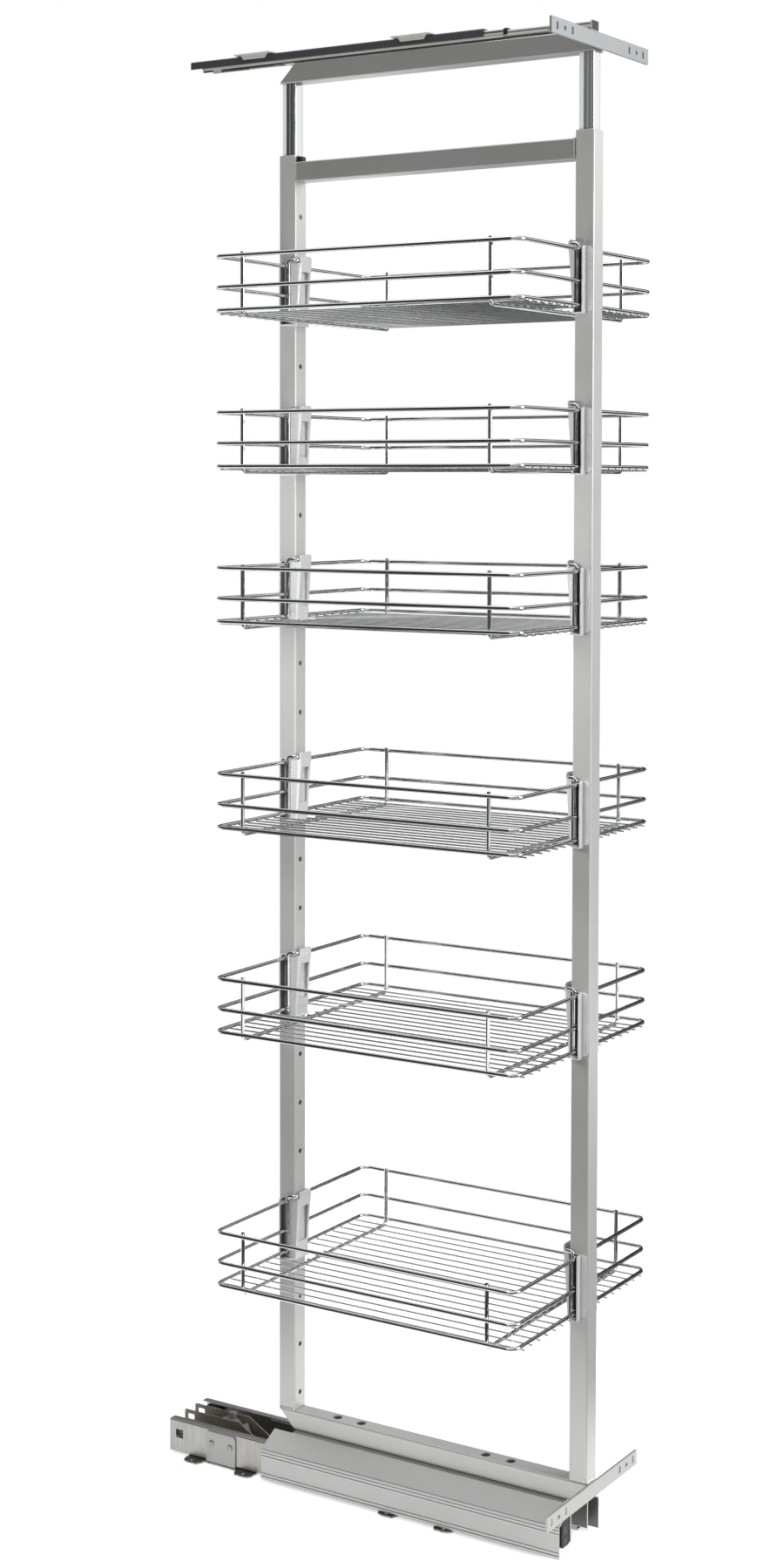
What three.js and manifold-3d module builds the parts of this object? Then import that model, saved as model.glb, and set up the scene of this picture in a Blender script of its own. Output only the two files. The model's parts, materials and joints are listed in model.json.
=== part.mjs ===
import * as THREE from 'three';
import { mergeVertices } from 'three/addons/utils/BufferGeometryUtils.js';
import Module from 'manifold-3d';

const wasm = await Module();
wasm.setup();

// Frame: millimetres, +Z up, the unit pulls out along -Y, z = 0 under the feet.
// Clearances between separate pieces
const GAP = 0.3;            // pieces that touch
const RUN = 0.35;           // one slide member inside the next
const WELD = 0.9;           // how far crossing wires sink into each other

// Frame tubes
const TUBE = 25;
const TUBE_WALL = 2.1;
const TUBE_R = 2;
const HALF = TUBE / 2;
const UPRIGHT_Y = 215;      // axis of each upright, front and rear
const RUNNER_H = 44;        // height of the base runners
const RUNNER_LIFT = 2.8;    // their underside above the floor
const BEAM_RISE = 13.2;     // bottom beam above the base runners
const UPRIGHT_LENGTH = 1635.7;
const CROSS_DROP = 34;      // crossbar below the uprights' tops
const HEAD_REACH = 92.3;    // top beam above the uprights' tops, as in the photo
const BEAM_Z = RUNNER_LIFT + RUNNER_H + BEAM_RISE;
const BEAM_TOP = BEAM_Z + TUBE;
const UPRIGHT_TOP = BEAM_TOP + GAP + UPRIGHT_LENGTH;
const CROSS_Z = UPRIGHT_TOP - CROSS_DROP;
const TOP_BEAM_Z = UPRIGHT_TOP + HEAD_REACH;
const TOP_BEAM_TOP = TOP_BEAM_Z + TUBE;
const FRAME_END = UPRIGHT_Y + HALF;
const BEAM_HOLE_R = 6.2;
const BEAM_HOLE_IN = { rear: [72, 108.5], front: [100, 136] };   // from each upright's axis

// Row of holes in each upright
const HOLE_PITCH = 64;
const HOLE_HEAD = 78.5;     // highest hole below the upright's top
const HOLE_TOP_Z = UPRIGHT_TOP - HOLE_HEAD;
const HOLE_COUNT = 25;
const HOLE_R = 3.3;
const PIN_R = 2.9;

// Telescopic top
const CLAMP_H = 10.2;
const CLAMP_L = 12;
const CLAMP_CUT = 3;
const CLAMP_X = 10;
const MAST = 20;
const MAST_WALL = 1.6;
const MAST_R = 1.5;
const MAST_LENGTH = 253;
const MAST_TOP_Z = TOP_BEAM_Z - GAP;

// Baskets
const BASKET_HOLES = [1, 4, 7, 11, 15, 20];   // hole behind each basket's top rim
const RIM_X = 170.5;
const RIM_Y = UPRIGHT_Y - 0.9;
const RIM_R = 2.55;
const RIM_FLAT = RIM_R * Math.cos(Math.PI / 6);   // half height of the six-sided wire
const RIM_BEND = 12;
const RIM_DROPS = [0, 38, 66.4];
const FLOOR_WIRE = 2.4;
const FLOOR_PITCH = 19.2;
const FLOOR_WIRES = 8;      // each side of the middle one
const FLOOR_SHORT = 1;      // wires each side of the middle that stop short of the bracket
const STRUT_IN = 39.1;      // cross wires in from the rims' ends
const STRUT_Y = RIM_Y - STRUT_IN;
const STRUT_TOP = 4.5;
const LOOP_BEND = 4;

// Hook brackets, measured from the upright's axis towards the basket
const POCKET = HALF + GAP;
const HOOK_SHEET = 1.6;
const CHEEK_X = POCKET + HOOK_SHEET;
const LEG_X = CHEEK_X + GAP + RIM_R;
const FLANGE_X = CHEEK_X + 9.6;
const CHEEK_END = 1 - HALF;
const FLANGE_IN = -5.2;     // face of the side flange that looks at the basket
const SHOULDER_Z = 4.4;
const LIP_RISE = 8.6;
const LIP_T = 2.2;
const LIP_TOP_Z = SHOULDER_Z + LIP_RISE;
const NOSE_TOP = HALF + 9;
const LIP_IN = NOSE_TOP - LIP_T;
const NOSE_FOOT = HALF + 2.3;
const NOSE_FACE_X = CHEEK_X - 2.4;
const HOOK_FOOT_Z = -76.5;
const LEDGE = 1.8;
const WINDOW_X = NOSE_FACE_X - 3.4;
const WINDOW_Z = [-53, -7];
const LOOP_Z = SHOULDER_Z + GAP + RIM_R;
const LOOP_IN = LIP_IN - RUN - RIM_R;
const LEG_IN = UPRIGHT_Y - RIM_Y + 2 * RIM_R - WELD;

// Base runner
const SHEET = 1.4;
const FOOT_T = 2;
const FOOT_X = 57;
const FOOT_Y = [300, -6];
const FOOT_LENGTH = 110;
const FOOT_NECK = 50;
const RUNNER_X = 42.2;
const RUNNER_Z = [RUNNER_LIFT, RUNNER_LIFT + RUNNER_H];
const RUNNER_LIP = 11.2;
const RUNNER_IN = RUNNER_X - RUNNER_LIP;
const RUNNER_BEND = 1.5;
const OUTER_Y = [-75, 385];
const MIDDLE_Y = [-130, 270];
const INNER_Y = [-195, 225];
const PLATE_T = 1.5;
const PLATE_LENGTH = 48;
const PLATE_TOP = RUNNER_Z[1] - 3.3;
const PLATE_CUT = 3;
const SCREW_X = 15;
const SCREW_Z = RUNNER_LIFT + 25.2;
const SCREW_R = 4;
const BUFFER = { length: 15.2, proud: 1, foot: 5.7, head: 4.7, cut: 3.6 };

// Cover extrusions
const COVER_X = 52.5;
const COVER_T = 1.4;
const COVER_Y = [-211, 228];
const COVER_FOOT = 3.2;
const COVER_FALL = 17;
const COVER_TOP = BEAM_Z - GAP;
const COVER_BEND_Z = COVER_TOP - COVER_FALL;
const TOP_FLANGE_Y = 200;
const WEB_X = 21;
const WEB_T = 2.3;
const WEB_FOOT = 14;
const RIB = 0.6;
const RIB_PITCH = 4.2;
const RIB_EDGE = { top: 5.3, foot: 3 };

// Soft-close bracket and damper
const CATCH_X = 12.3;
const CATCH_T = 1.6;
const CATCH_Y = [225, 383];
const CATCH_TOP = 50;
const CATCH_SLOPE_Y = 67;   // length of the sloping end
const CATCH_NOSE = 12;
const CATCH_SLOT = { back: 5.5, drop: 5.5, length: 10.5, height: 7, corner: 1.5 };
const DAMPER_Y = [308, 336];
const DAMPER_TOP = 55;
const DAMPER_CUT = 7;

// Door bars
const BAR_T = 2.8;
const BAR_BACK = -(FRAME_END + GAP);
const BAR_H = 19;
const LOWER_BAR = { half: 118, z: BEAM_Z + 5, edge: 11, pitch: 36 };
const UPPER_BAR = { half: 125.4, z: TOP_BEAM_Z + 2.7, edge: 14.4, pitch: 37.5 };
const SLOT_W = 3.6;
const SLOT_H = 10;
const BAR_HOLE_R = 3;
const LUG_X = HALF - TUBE_WALL - 0.6;
const LUG_T = 6.5;
const LUG_REACH = 27.8;

// Top runner
const RAIL_T = 1.2;
const RAIL_IN = { x: 9.4, z: TOP_BEAM_TOP + GAP, y: [-221, 223] };
const RAIL_H = 9.6;
const RAIL_TOP_IN = RAIL_IN.z + RAIL_H;
const RAIL_STOP = 13.5;     // bent-up front end of the inner member
const RAIL_LENGTH = 454;
const RAIL_MID_FRONT = -164;
const RAIL_OUT_FRONT = -103;
const RAIL_FOOT = { middle: 2, outer: 1.5 };
const CAP_LENGTH = 4.7;
const CAP_T = 0.6;
const HOOD_START = 27;      // cover channel behind the outer member's front end
const HOOD_LENGTH = 444;
const HOOD_T = 2;
const HOOD_H = 9.8;
const CLIP_BACK = { rear: 103, front: 343 };   // from the cover channel's rear end
const CLIP_LENGTH = 58;
const CLIP_TAB = 30;
const CLIP_X = 22;
const CLIP_T = 1.5;
const CLIP_GRIP = 9;
const SCREW_HOLE_R = 2.2;

const paint = (colour, roughness, metalness) =>
  new THREE.MeshStandardMaterial({ color: colour, roughness, metalness });
const SILVER = paint(0xb9bab8, 0.42, 0.6);
const HOOK_GREY = paint(0xc6c9c9, 0.45, 0.3);
const CHROME = paint(0xd9dbdd, 0.08, 1.0);
const ZINC = paint(0xbfc4c2, 0.3, 0.9);
const DARK_STEEL = paint(0x4b4843, 0.45, 0.7);
const PLATE_GREY = paint(0x9a9c9c, 0.45, 0.6);
const ALUMINIUM = paint(0xb4b5b4, 0.38, 0.8);
const BLACK = paint(0x1b1c1d, 0.5, 0.0);
const GREY_PLASTIC = paint(0x77756f, 0.55, 0.0);
const HOOD_BLACK = paint(0x2f3235, 0.4, 0.4);

const larder = new THREE.Group();
larder.name = 'pull_out_larder_unit';

// A closed three.js geometry as a solid, and back again.
function solid(geometry) {
  const bare = geometry.clone();
  bare.deleteAttribute('normal');
  bare.deleteAttribute('uv');
  const merged = mergeVertices(bare, 1e-4);
  return new wasm.Manifold(new wasm.Mesh({
    numProp: 3,
    vertProperties: new Float32Array(merged.attributes.position.array),
    triVerts: new Uint32Array(merged.index.array),
  }));
}

function geometryOf(body) {
  const out = body.getMesh();
  const geometry = new THREE.BufferGeometry();
  geometry.setAttribute('position', new THREE.BufferAttribute(new Float32Array(out.vertProperties), 3));
  geometry.setIndex(new THREE.BufferAttribute(new Uint32Array(out.triVerts), 1));
  geometry.computeVertexNormals();
  return geometry;
}

function place(name, shape, material, parent = larder) {
  const geometry = shape.isBufferGeometry ? shape : geometryOf(shape);
  const mesh = new THREE.Mesh(geometry, material);
  mesh.name = name;
  parent.add(mesh);
  return mesh;
}

function block(x, y, z) {
  const geometry = new THREE.BoxGeometry(x[1] - x[0], y[1] - y[0], z[1] - z[0]);
  geometry.translate((x[0] + x[1]) / 2, (y[0] + y[1]) / 2, (z[0] + z[1]) / 2);
  return geometry;
}

function shapeOf(points, holes = []) {
  const shape = new THREE.Shape(points.map(([a, b]) => new THREE.Vector2(a, b)));
  for (const hole of holes) {
    shape.holes.push(new THREE.Path(hole.map(([a, b]) => new THREE.Vector2(a, b))));
  }
  return shape;
}

const AXES = {
  z: [[1, 0, 0], [0, 1, 0], [0, 0, 1]],
  x: [[0, 1, 0], [0, 0, 1], [1, 0, 0]],
  y: [[1, 0, 0], [0, 0, 1], [0, -1, 0]],
};

// Outline pushed along an axis from a to b: (x, y) along z, (y, z) along x, (x, z) along y.
function prism(shape, axis, a, b) {
  const geometry = new THREE.ExtrudeGeometry(shape, { depth: b - a, bevelEnabled: false });
  const basis = new THREE.Matrix4().makeBasis(...AXES[axis].map((v) => new THREE.Vector3(...v)));
  geometry.applyMatrix4(basis);
  const start = new THREE.Vector3(...AXES[axis][2]).multiplyScalar(axis === 'y' ? -b : a);
  geometry.translate(start.x, start.y, start.z);
  return geometry;
}

function ring(radius, sides, turn = 0, cx = 0, cy = 0) {
  return Array.from({ length: sides }, (_, i) => {
    const t = turn + (i / sides) * Math.PI * 2;
    return [cx + radius * Math.cos(t), cy + radius * Math.sin(t)];
  });
}

function roundedSquare(side, r, steps = 2) {
  const c = side / 2 - r;
  const points = [];
  for (const [sx, sy, start] of [[1, 1, 0], [-1, 1, 90], [-1, -1, 180], [1, -1, 270]]) {
    for (let i = 0; i <= steps; i += 1) {
      const t = ((start + (i / steps) * 90) * Math.PI) / 180;
      points.push([sx * c + r * Math.cos(t), sy * c + r * Math.sin(t)]);
    }
  }
  return points;
}

function squareTube(side, wall, r, axis, a, b, centre) {
  const inner = side / 2 - wall;
  const hole = [[-inner, -inner], [-inner, inner], [inner, inner], [inner, -inner]];
  const geometry = prism(shapeOf(roundedSquare(side, r), [hole]), axis, a, b);
  geometry.translate(...centre);
  return geometry;
}

// Corner points of a bent wire: each given corner becomes an arc of a few steps.
function bent(points, bend, steps) {
  const path = [points[0].clone()];
  for (let i = 1; i < points.length - 1; i += 1) {
    const before = points[i - 1].clone().sub(points[i]).normalize();
    const after = points[i + 1].clone().sub(points[i]).normalize();
    const centre = points[i].clone().addScaledVector(before, bend).addScaledVector(after, bend);
    for (let s = 0; s <= steps; s += 1) {
      const t = (s / steps) * Math.PI * 0.5;
      path.push(centre.clone()
        .addScaledVector(after, -bend * Math.cos(t))
        .addScaledVector(before, -bend * Math.sin(t)));
    }
  }
  path.push(points[points.length - 1].clone());
  return path;
}

class WirePath extends THREE.Curve {
  constructor(points) {
    super();
    this.points = points;
  }
  getPointAt(u) {
    return this.points[Math.round(u * (this.points.length - 1))].clone();
  }
  getTangentAt(u) {
    const i = Math.round(u * (this.points.length - 1));
    const here = this.points[i];
    const back = this.points[Math.max(i - 1, 0)];
    const on = this.points[Math.min(i + 1, this.points.length - 1)];
    const tangent = new THREE.Vector3();
    if (i > 0) tangent.add(here.clone().sub(back).normalize());
    if (i < this.points.length - 1) tangent.add(on.clone().sub(here).normalize());
    return tangent.normalize();
  }
}

function wire(corners, bend = RIM_BEND, steps = 3) {
  const points = bent(corners.map((c) => new THREE.Vector3(...c)), bend, steps);
  const outline = shapeOf(ring(RIM_R, 6, Math.PI / 6));
  return new THREE.ExtrudeGeometry(outline, {
    steps: points.length - 1, bevelEnabled: false, extrudePath: new WirePath(points),
  });
}

function join(shapes) {
  return shapes.map(solid).reduce((sum, next) => sum.add(next));
}

function cut(body, tools) {
  return tools.map(solid).reduce((rest, tool) => rest.subtract(tool), body);
}

// --- welded frame --------------------------------------------------------------------------
function upright(name, side) {
  const holes = Array.from({ length: HOLE_COUNT }, (_, k) => {
    const row = ring(HOLE_R, 6, 0, 0, HOLE_TOP_Z - HOLE_PITCH * k);
    const inner = side * (UPRIGHT_Y - HALF);
    return prism(shapeOf(row), 'y', inner - TUBE_WALL * 1.5, inner + TUBE_WALL * 1.5);
  });
  const tube = squareTube(TUBE, TUBE_WALL, TUBE_R, 'z', BEAM_TOP + GAP, UPRIGHT_TOP, [0, side * UPRIGHT_Y, 0]);
  return place(name, cut(solid(tube), holes), SILVER);
}

// Beam along Y whose ends are cut at 45 degrees, longer along its top or its bottom edge.
function mitredBeam(name, z, longTop, holes) {
  const tube = squareTube(TUBE, TUBE_WALL, TUBE_R, 'y', -FRAME_END, FRAME_END, [0, 0, z + HALF]);
  const reach = TUBE + 2;
  const ends = [1, -1].map((side) => {
    const tip = side * FRAME_END;
    const at = (y, h) => [tip - side * y, z + (longTop ? TUBE - h : h)];
    const wedge = [at(0, 0), at(reach, reach), at(-reach, reach), at(-reach, 0)];
    if (THREE.ShapeUtils.isClockWise(wedge.map(([a, b]) => new THREE.Vector2(a, b)))) wedge.reverse();
    return prism(shapeOf(wedge), 'x', -TUBE, TUBE);
  });
  const bores = holes.map((y) => prism(shapeOf(ring(BEAM_HOLE_R, 10, 0, 0, y)), 'z',
    z + TUBE - TUBE_WALL * 1.5, z + TUBE + 1));
  return place(name, cut(solid(tube), [...ends, ...bores]), SILVER);
}

function crossbar() {
  const end = UPRIGHT_Y - HALF - GAP;
  place('crossbar', squareTube(TUBE, TUBE_WALL, TUBE_R, 'y', -end, end, [0, 0, CROSS_Z + HALF]), SILVER);
  const inner = UPRIGHT_Y - HALF - GAP;
  const foot = CROSS_Z + TUBE + GAP;
  const head = foot + CLAMP_H;
  const profile = [[inner, foot], [inner, head], [inner - CLAMP_L / 2, head],
    [inner - CLAMP_L, head - CLAMP_CUT], [inner - CLAMP_L, foot]];
  place('height_clamp', prism(shapeOf(profile.reverse()), 'x', -CLAMP_X, CLAMP_X), BLACK);
}

function mast(name, side) {
  return place(name, squareTube(MAST, MAST_WALL, MAST_R, 'z', MAST_TOP_Z - MAST_LENGTH, MAST_TOP_Z,
    [0, side * UPRIGHT_Y, 0]), CHROME);
}

function slotAt(cx) {
  const r = SLOT_W / 2;
  const straight = SLOT_H / 2 - r;
  const arc = (side) => [0, 45, 90, 135, 180].map((deg) => {
    const t = (deg * Math.PI) / 180;
    return [cx + side * r * Math.cos(t), BAR_H / 2 + side * (straight + r * Math.sin(t))];
  });
  return [...arc(1), ...arc(-1)];
}

function doorBar(name, bar, lugZ) {
  const inward = [bar.edge, bar.edge + bar.pitch];
  const openings = [1, -1].flatMap((s) => [...inward.map((e) => slotAt(s * (bar.half - e))),
    ring(BAR_HOLE_R, 8, 0, s * (bar.half - bar.edge - bar.pitch / 2), BAR_H / 2)]);
  const outline = [[-bar.half, 0], [bar.half, 0], [bar.half, BAR_H], [-bar.half, BAR_H]];
  const plate = prism(shapeOf(outline, openings), 'y', BAR_BACK - BAR_T, BAR_BACK);
  plate.translate(0, 0, bar.z);
  const lug = block([-LUG_X, LUG_X], [BAR_BACK - BAR_T / 2, BAR_BACK + LUG_REACH], lugZ);
  return place(name, join([plate, lug]), SILVER);
}

// --- hook brackets ----------------------------------------------------------------------------
// Built at the rear upright's axis, nose towards -Y; z = 0 at the basket's top rim.
function hookShape() {
  const foot = HOOK_FOOT_Z + LEDGE;
  const body = block([-CHEEK_X, CHEEK_X], [-POCKET - HOOK_SHEET, -CHEEK_END], [foot - LEDGE / 8, SHOULDER_Z]);
  const flanges = block([-FLANGE_X, FLANGE_X], [-FLANGE_IN, HOOK_SHEET - FLANGE_IN], [HOOK_FOOT_Z, SHOULDER_Z]);
  const ledge = block([-FLANGE_X, FLANGE_X], [-NOSE_FOOT - HOOK_SHEET, HOOK_SHEET - FLANGE_IN],
    [HOOK_FOOT_Z, foot]);
  const crown = LIP_T / 3;
  const side = [[-HALF, foot], [-NOSE_FOOT, foot], [-NOSE_TOP, SHOULDER_Z + LIP_RISE / 3],
    [-NOSE_TOP, LIP_TOP_Z - crown], [-NOSE_TOP + crown, LIP_TOP_Z], [-LIP_IN, LIP_TOP_Z],
    [-LIP_IN, SHOULDER_Z], [-HALF, SHOULDER_Z]];
  const nose = prism(shapeOf(side.reverse()), 'x', -CHEEK_X, CHEEK_X);
  const plan = [[-CHEEK_X, 0], [-CHEEK_X, -NOSE_FOOT - 1], [-NOSE_FACE_X, -NOSE_TOP - 1],
    [NOSE_FACE_X, -NOSE_TOP - 1], [CHEEK_X, -NOSE_FOOT - 1], [CHEEK_X, 0]];
  const chamfer = prism(shapeOf(plan), 'z', HOOK_FOOT_Z - 1, LIP_TOP_Z + 1);
  const pocket = block([-POCKET, POCKET], [-POCKET, TUBE], [HOOK_FOOT_Z - 1, LIP_TOP_Z + 1]);
  const window = block([-WINDOW_X, WINDOW_X], [-NOSE_TOP - 1, -POCKET - HOOK_SHEET], WINDOW_Z);
  const pins = [0, -HOLE_PITCH].map((z) => prism(shapeOf(ring(PIN_R, 6, 0, 0, z)), 'y',
    -POCKET - HOOK_SHEET / 2, -HALF + TUBE_WALL - GAP));
  const shell = join([body, flanges, ledge]).add(solid(nose).intersect(solid(chamfer)));
  return pins.map(solid).reduce((sum, pin) => sum.add(pin), cut(shell, [pocket, window]));
}

// --- baskets ----------------------------------------------------------------------------------
function rimHalf(side, z) {
  const end = [side * LEG_X, RIM_Y, z];
  const path = [end, [side * RIM_X, RIM_Y, z], [side * RIM_X, -RIM_Y, z], [side * LEG_X, -RIM_Y, z]];
  return wire(path, RIM_BEND, 2);
}

function hangingLoop(side) {
  const legY = side * (UPRIGHT_Y - LEG_IN);
  const restY = side * (UPRIGHT_Y - LOOP_IN);
  const foot = -RIM_DROPS[2] - RIM_R;
  return wire([[-LEG_X, legY, foot], [-LEG_X, legY, LOOP_Z], [-LEG_X, restY, LOOP_Z],
    [LEG_X, restY, LOOP_Z], [LEG_X, legY, LOOP_Z], [LEG_X, legY, foot]], LOOP_BEND, 2);
}

const FLOOR_Z = -RIM_DROPS[2] - RIM_FLAT - GAP - FLOOR_WIRE / 2;
const STRUT_FOOT = FLOOR_Z - FLOOR_WIRE / 2 - RIM_R + WELD;

function strut(side) {
  const x = RIM_X - 2 * RIM_R + WELD;
  const y = side * STRUT_Y;
  return wire([[-x, y, STRUT_TOP], [-x, y, STRUT_FOOT], [x, y, STRUT_FOOT], [x, y, STRUT_TOP]], RIM_BEND / 2, 2);
}

function floorWires() {
  const wires = [];
  for (let i = -FLOOR_WIRES; i <= FLOOR_WIRES; i += 1) {
    const reach = Math.abs(i) <= FLOOR_SHORT ? STRUT_Y + RIM_R + 1 : RIM_Y + RIM_R + 1;
    const x = i * FLOOR_PITCH;
    wires.push(block([x - FLOOR_WIRE / 2, x + FLOOR_WIRE / 2], [-reach, reach],
      [FLOOR_Z - FLOOR_WIRE / 2, FLOOR_Z + FLOOR_WIRE / 2]));
  }
  return wires;
}

function basketShape() {
  const rims = RIM_DROPS.flatMap((drop) => [rimHalf(1, -drop), rimHalf(-1, -drop)]);
  return join([...rims, hangingLoop(1), hangingLoop(-1), strut(1), strut(-1), ...floorWires()]);
}

function hangBaskets() {
  const hook = geometryOf(hookShape());
  const basket = geometryOf(basketShape());
  BASKET_HOLES.forEach((hole, i) => {
    const z = HOLE_TOP_Z - HOLE_PITCH * hole;
    const rear = place(`bracket_${i + 1}_rear`, hook, HOOK_GREY);
    rear.position.set(0, UPRIGHT_Y, z);
    const front = place(`bracket_${i + 1}_front`, hook, HOOK_GREY);
    front.position.set(0, -UPRIGHT_Y, z);
    front.rotation.z = Math.PI;
    place(`basket_${i + 1}`, basket, CHROME).position.set(0, 0, z);
  });
}

// --- base runner --------------------------------------------------------------------------------
// C section: its back at xBack, its lips ending at xLip, corners cut by the bend.
function channel(xBack, xLip, z0, z1) {
  const s = Math.sign(xLip - xBack);
  const c = RUNNER_BEND;
  const face = xBack + s * SHEET;
  return [[xBack, z0 + c], [xBack, z1 - c], [xBack + s * c, z1], [xLip, z1], [xLip, z1 - SHEET],
    [face, z1 - SHEET], [face, z0 + SHEET], [xLip, z0 + SHEET], [xLip, z0], [xBack + s * c, z0]];
}

function mirrored(points, side) {
  const row = points.map(([x, z]) => [side * x, z]);
  return THREE.ShapeUtils.isClockWise(row.map(([a, b]) => new THREE.Vector2(a, b))) ? row.reverse() : row;
}

function slidePair(side, tag) {
  const [z0, z1] = RUNNER_Z;
  const outer = channel(RUNNER_X, RUNNER_IN, z0, z1);
  place(`base_outer_${tag}`, prism(shapeOf(mirrored(outer, side)), 'y', ...OUTER_Y), ZINC);
  const step = SHEET + RUN;
  const middle = channel(RUNNER_X - step, RUNNER_IN - 2, z0 + step, z1 - step);
  place(`base_middle_${tag}`, prism(shapeOf(mirrored(middle, side)), 'y', ...MIDDLE_Y), ZINC);
  const inner = channel(WEB_X + WEB_T + GAP, RUNNER_X - 2 * step, z0 + 2 * step, z1 - 2 * step);
  place(`base_inner_${tag}`, prism(shapeOf(mirrored(inner, side)), 'y', ...INNER_Y), ZINC);
}

function coverProfile(side) {
  const inX = COVER_X - COVER_T;
  const webX = WEB_X + WEB_T;
  const fall = (COVER_TOP - COVER_BEND_Z) / (COVER_X - WEB_X);
  const skin = COVER_T * Math.hypot(1, fall);
  const under = (x) => COVER_TOP - fall * (x - WEB_X) - skin;
  const outline = [[WEB_X, WEB_FOOT], [WEB_X, COVER_TOP - WEB_T], [GAP / 2, COVER_TOP - WEB_T],
    [GAP / 2, COVER_TOP], [WEB_X, COVER_TOP], [COVER_X, COVER_BEND_Z]];
  const ribTop = COVER_BEND_Z - RIB_EDGE.top;
  const ribFoot = COVER_FOOT + RIB_EDGE.foot;
  for (const z of [ribTop, ribTop - RIB_PITCH, ribFoot + RIB_PITCH, ribFoot]) {
    const [base, crest] = [RIB * 1.8, RIB * 0.8];
    outline.push([COVER_X, z + base], [COVER_X + RIB, z + crest], [COVER_X + RIB, z - crest],
      [COVER_X, z - base]);
  }
  outline.push([COVER_X, COVER_FOOT], [inX, COVER_FOOT], [inX, under(inX)], [webX, under(webX)],
    [webX, WEB_FOOT]);
  return shapeOf(mirrored(outline, side));
}

function cover(side, tag) {
  const body = solid(prism(coverProfile(side), 'y', ...COVER_Y));
  const strip = side > 0 ? [-1, WEB_X - 0.01] : [-WEB_X + 0.01, 1];
  const notch = [[COVER_Y[0] - 1, -TOP_FLANGE_Y], [TOP_FLANGE_Y, COVER_Y[1] + 1]]
    .map((y) => block(strip, y, [COVER_TOP - WEB_T - GAP, COVER_TOP + 1]));
  place(`cover_${tag}`, cut(body, notch), ALUMINIUM);
}

function footPlate(name, y) {
  const h = FOOT_LENGTH / 2;
  const n = FOOT_NECK / 2;
  const neckX = RUNNER_X + GAP + PLATE_T + 1.2;
  const slant = (FOOT_X - neckX) / 2;
  const corner = [[FOOT_X, n + slant], [FOOT_X, h - slant * 1.5], [FOOT_X - slant / 3, h - slant / 2],
    [FOOT_X - slant * 1.3, h]];
  const quarter = [[neckX, n], ...corner];
  const all = [...quarter, ...quarter.map(([a, b]) => [-a, b]).reverse(), ...quarter.map(([a, b]) => [-a, -b]),
    ...quarter.map(([a, b]) => [a, -b]).reverse()];
  const bores = [1, -1].flatMap((a) => [1, -1].map((b) => ring(SCREW_HOLE_R, 6, 0,
    a * (FOOT_X - slant), b * (h - slant * 2.2))));
  const sheet = prism(shapeOf(all, bores), 'z', 0, FOOT_T);
  sheet.translate(0, y, 0);
  const rests = [1, -1].map((s) => block(s > 0 ? [RUNNER_IN + 1, RUNNER_X - 1] : [1 - RUNNER_X, -RUNNER_IN - 1],
    [y - n, y + n], [FOOT_T / 2, RUNNER_Z[0] - GAP]));
  place(name, join([sheet, ...rests]), DARK_STEEL);
}

function sidePlate(end, side, tag, y) {
  const at = (a, b) => (side > 0 ? [a, b] : [-b, -a]);
  const face = RUNNER_X + GAP;
  const h = PLATE_LENGTH / 2;
  const z0 = FOOT_T + GAP;
  const outline = [[y - h, z0], [y + h, z0], [y + h, PLATE_TOP - PLATE_CUT], [y + h - PLATE_CUT, PLATE_TOP],
    [y - h + PLATE_CUT, PLATE_TOP], [y - h, PLATE_TOP - PLATE_CUT]];
  place(`slide_plate_${end}_${tag}`, prism(shapeOf(outline), 'x', ...at(face, face + PLATE_T)), PLATE_GREY);
  [1, -1].forEach((s, i) => {
    const head = ring(SCREW_R, 8, 0, y + s * SCREW_X, SCREW_Z);
    const x = face + PLATE_T + GAP;
    place(`plate_screw_${end}_${tag}_${i + 1}`, prism(shapeOf(head), 'x', ...at(x, x + 1.6)), ZINC);
  });
}

function softClose() {
  const z0 = FOOT_T + GAP;
  const inX = CATCH_X - CATCH_T;
  const section = [[-CATCH_X, z0], [CATCH_X, z0], [CATCH_X, CATCH_TOP], [inX, CATCH_TOP], [inX, z0 + CATCH_T],
    [-inX, z0 + CATCH_T], [-inX, CATCH_TOP], [-CATCH_X, CATCH_TOP]];
  const body = solid(prism(shapeOf(section), 'y', ...CATCH_Y));
  const crest = CATCH_Y[0] + CATCH_SLOPE_Y;
  const nose = [[CATCH_Y[0] - 1, CATCH_TOP + 1], [CATCH_Y[0] - 1, CATCH_NOSE], [CATCH_Y[0], CATCH_NOSE],
    [crest, CATCH_TOP], [crest, CATCH_TOP + 1]];
  const c = CATCH_SLOT.corner;
  const [y1, z1] = [CATCH_Y[1] - CATCH_SLOT.back, CATCH_TOP - CATCH_SLOT.drop];
  const [y0, zLow] = [y1 - CATCH_SLOT.length, z1 - CATCH_SLOT.height];
  const slot = [[y0, zLow + c], [y0 + c, zLow], [y1 - c, zLow], [y1, zLow + c], [y1, z1 - c], [y1 - c, z1],
    [y0 + c, z1], [y0, z1 - c]];
  const tools = [nose, slot].map((row) => prism(shapeOf(row), 'x', -CATCH_X - 1, CATCH_X + 1));
  place('soft_close_bracket', cut(body, tools), DARK_STEEL);
  const dx = inX - GAP;
  const foot = z0 + CATCH_T + GAP;
  const low = DAMPER_TOP - DAMPER_CUT;
  const head = [[DAMPER_Y[0], foot], [DAMPER_Y[1], foot], [DAMPER_Y[1], low], [DAMPER_Y[1] - DAMPER_CUT, DAMPER_TOP],
    [DAMPER_Y[0] + DAMPER_CUT, DAMPER_TOP], [DAMPER_Y[0], low]];
  place('soft_close_damper', prism(shapeOf(head), 'x', -dx, dx), GREY_PLASTIC);
}

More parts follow.
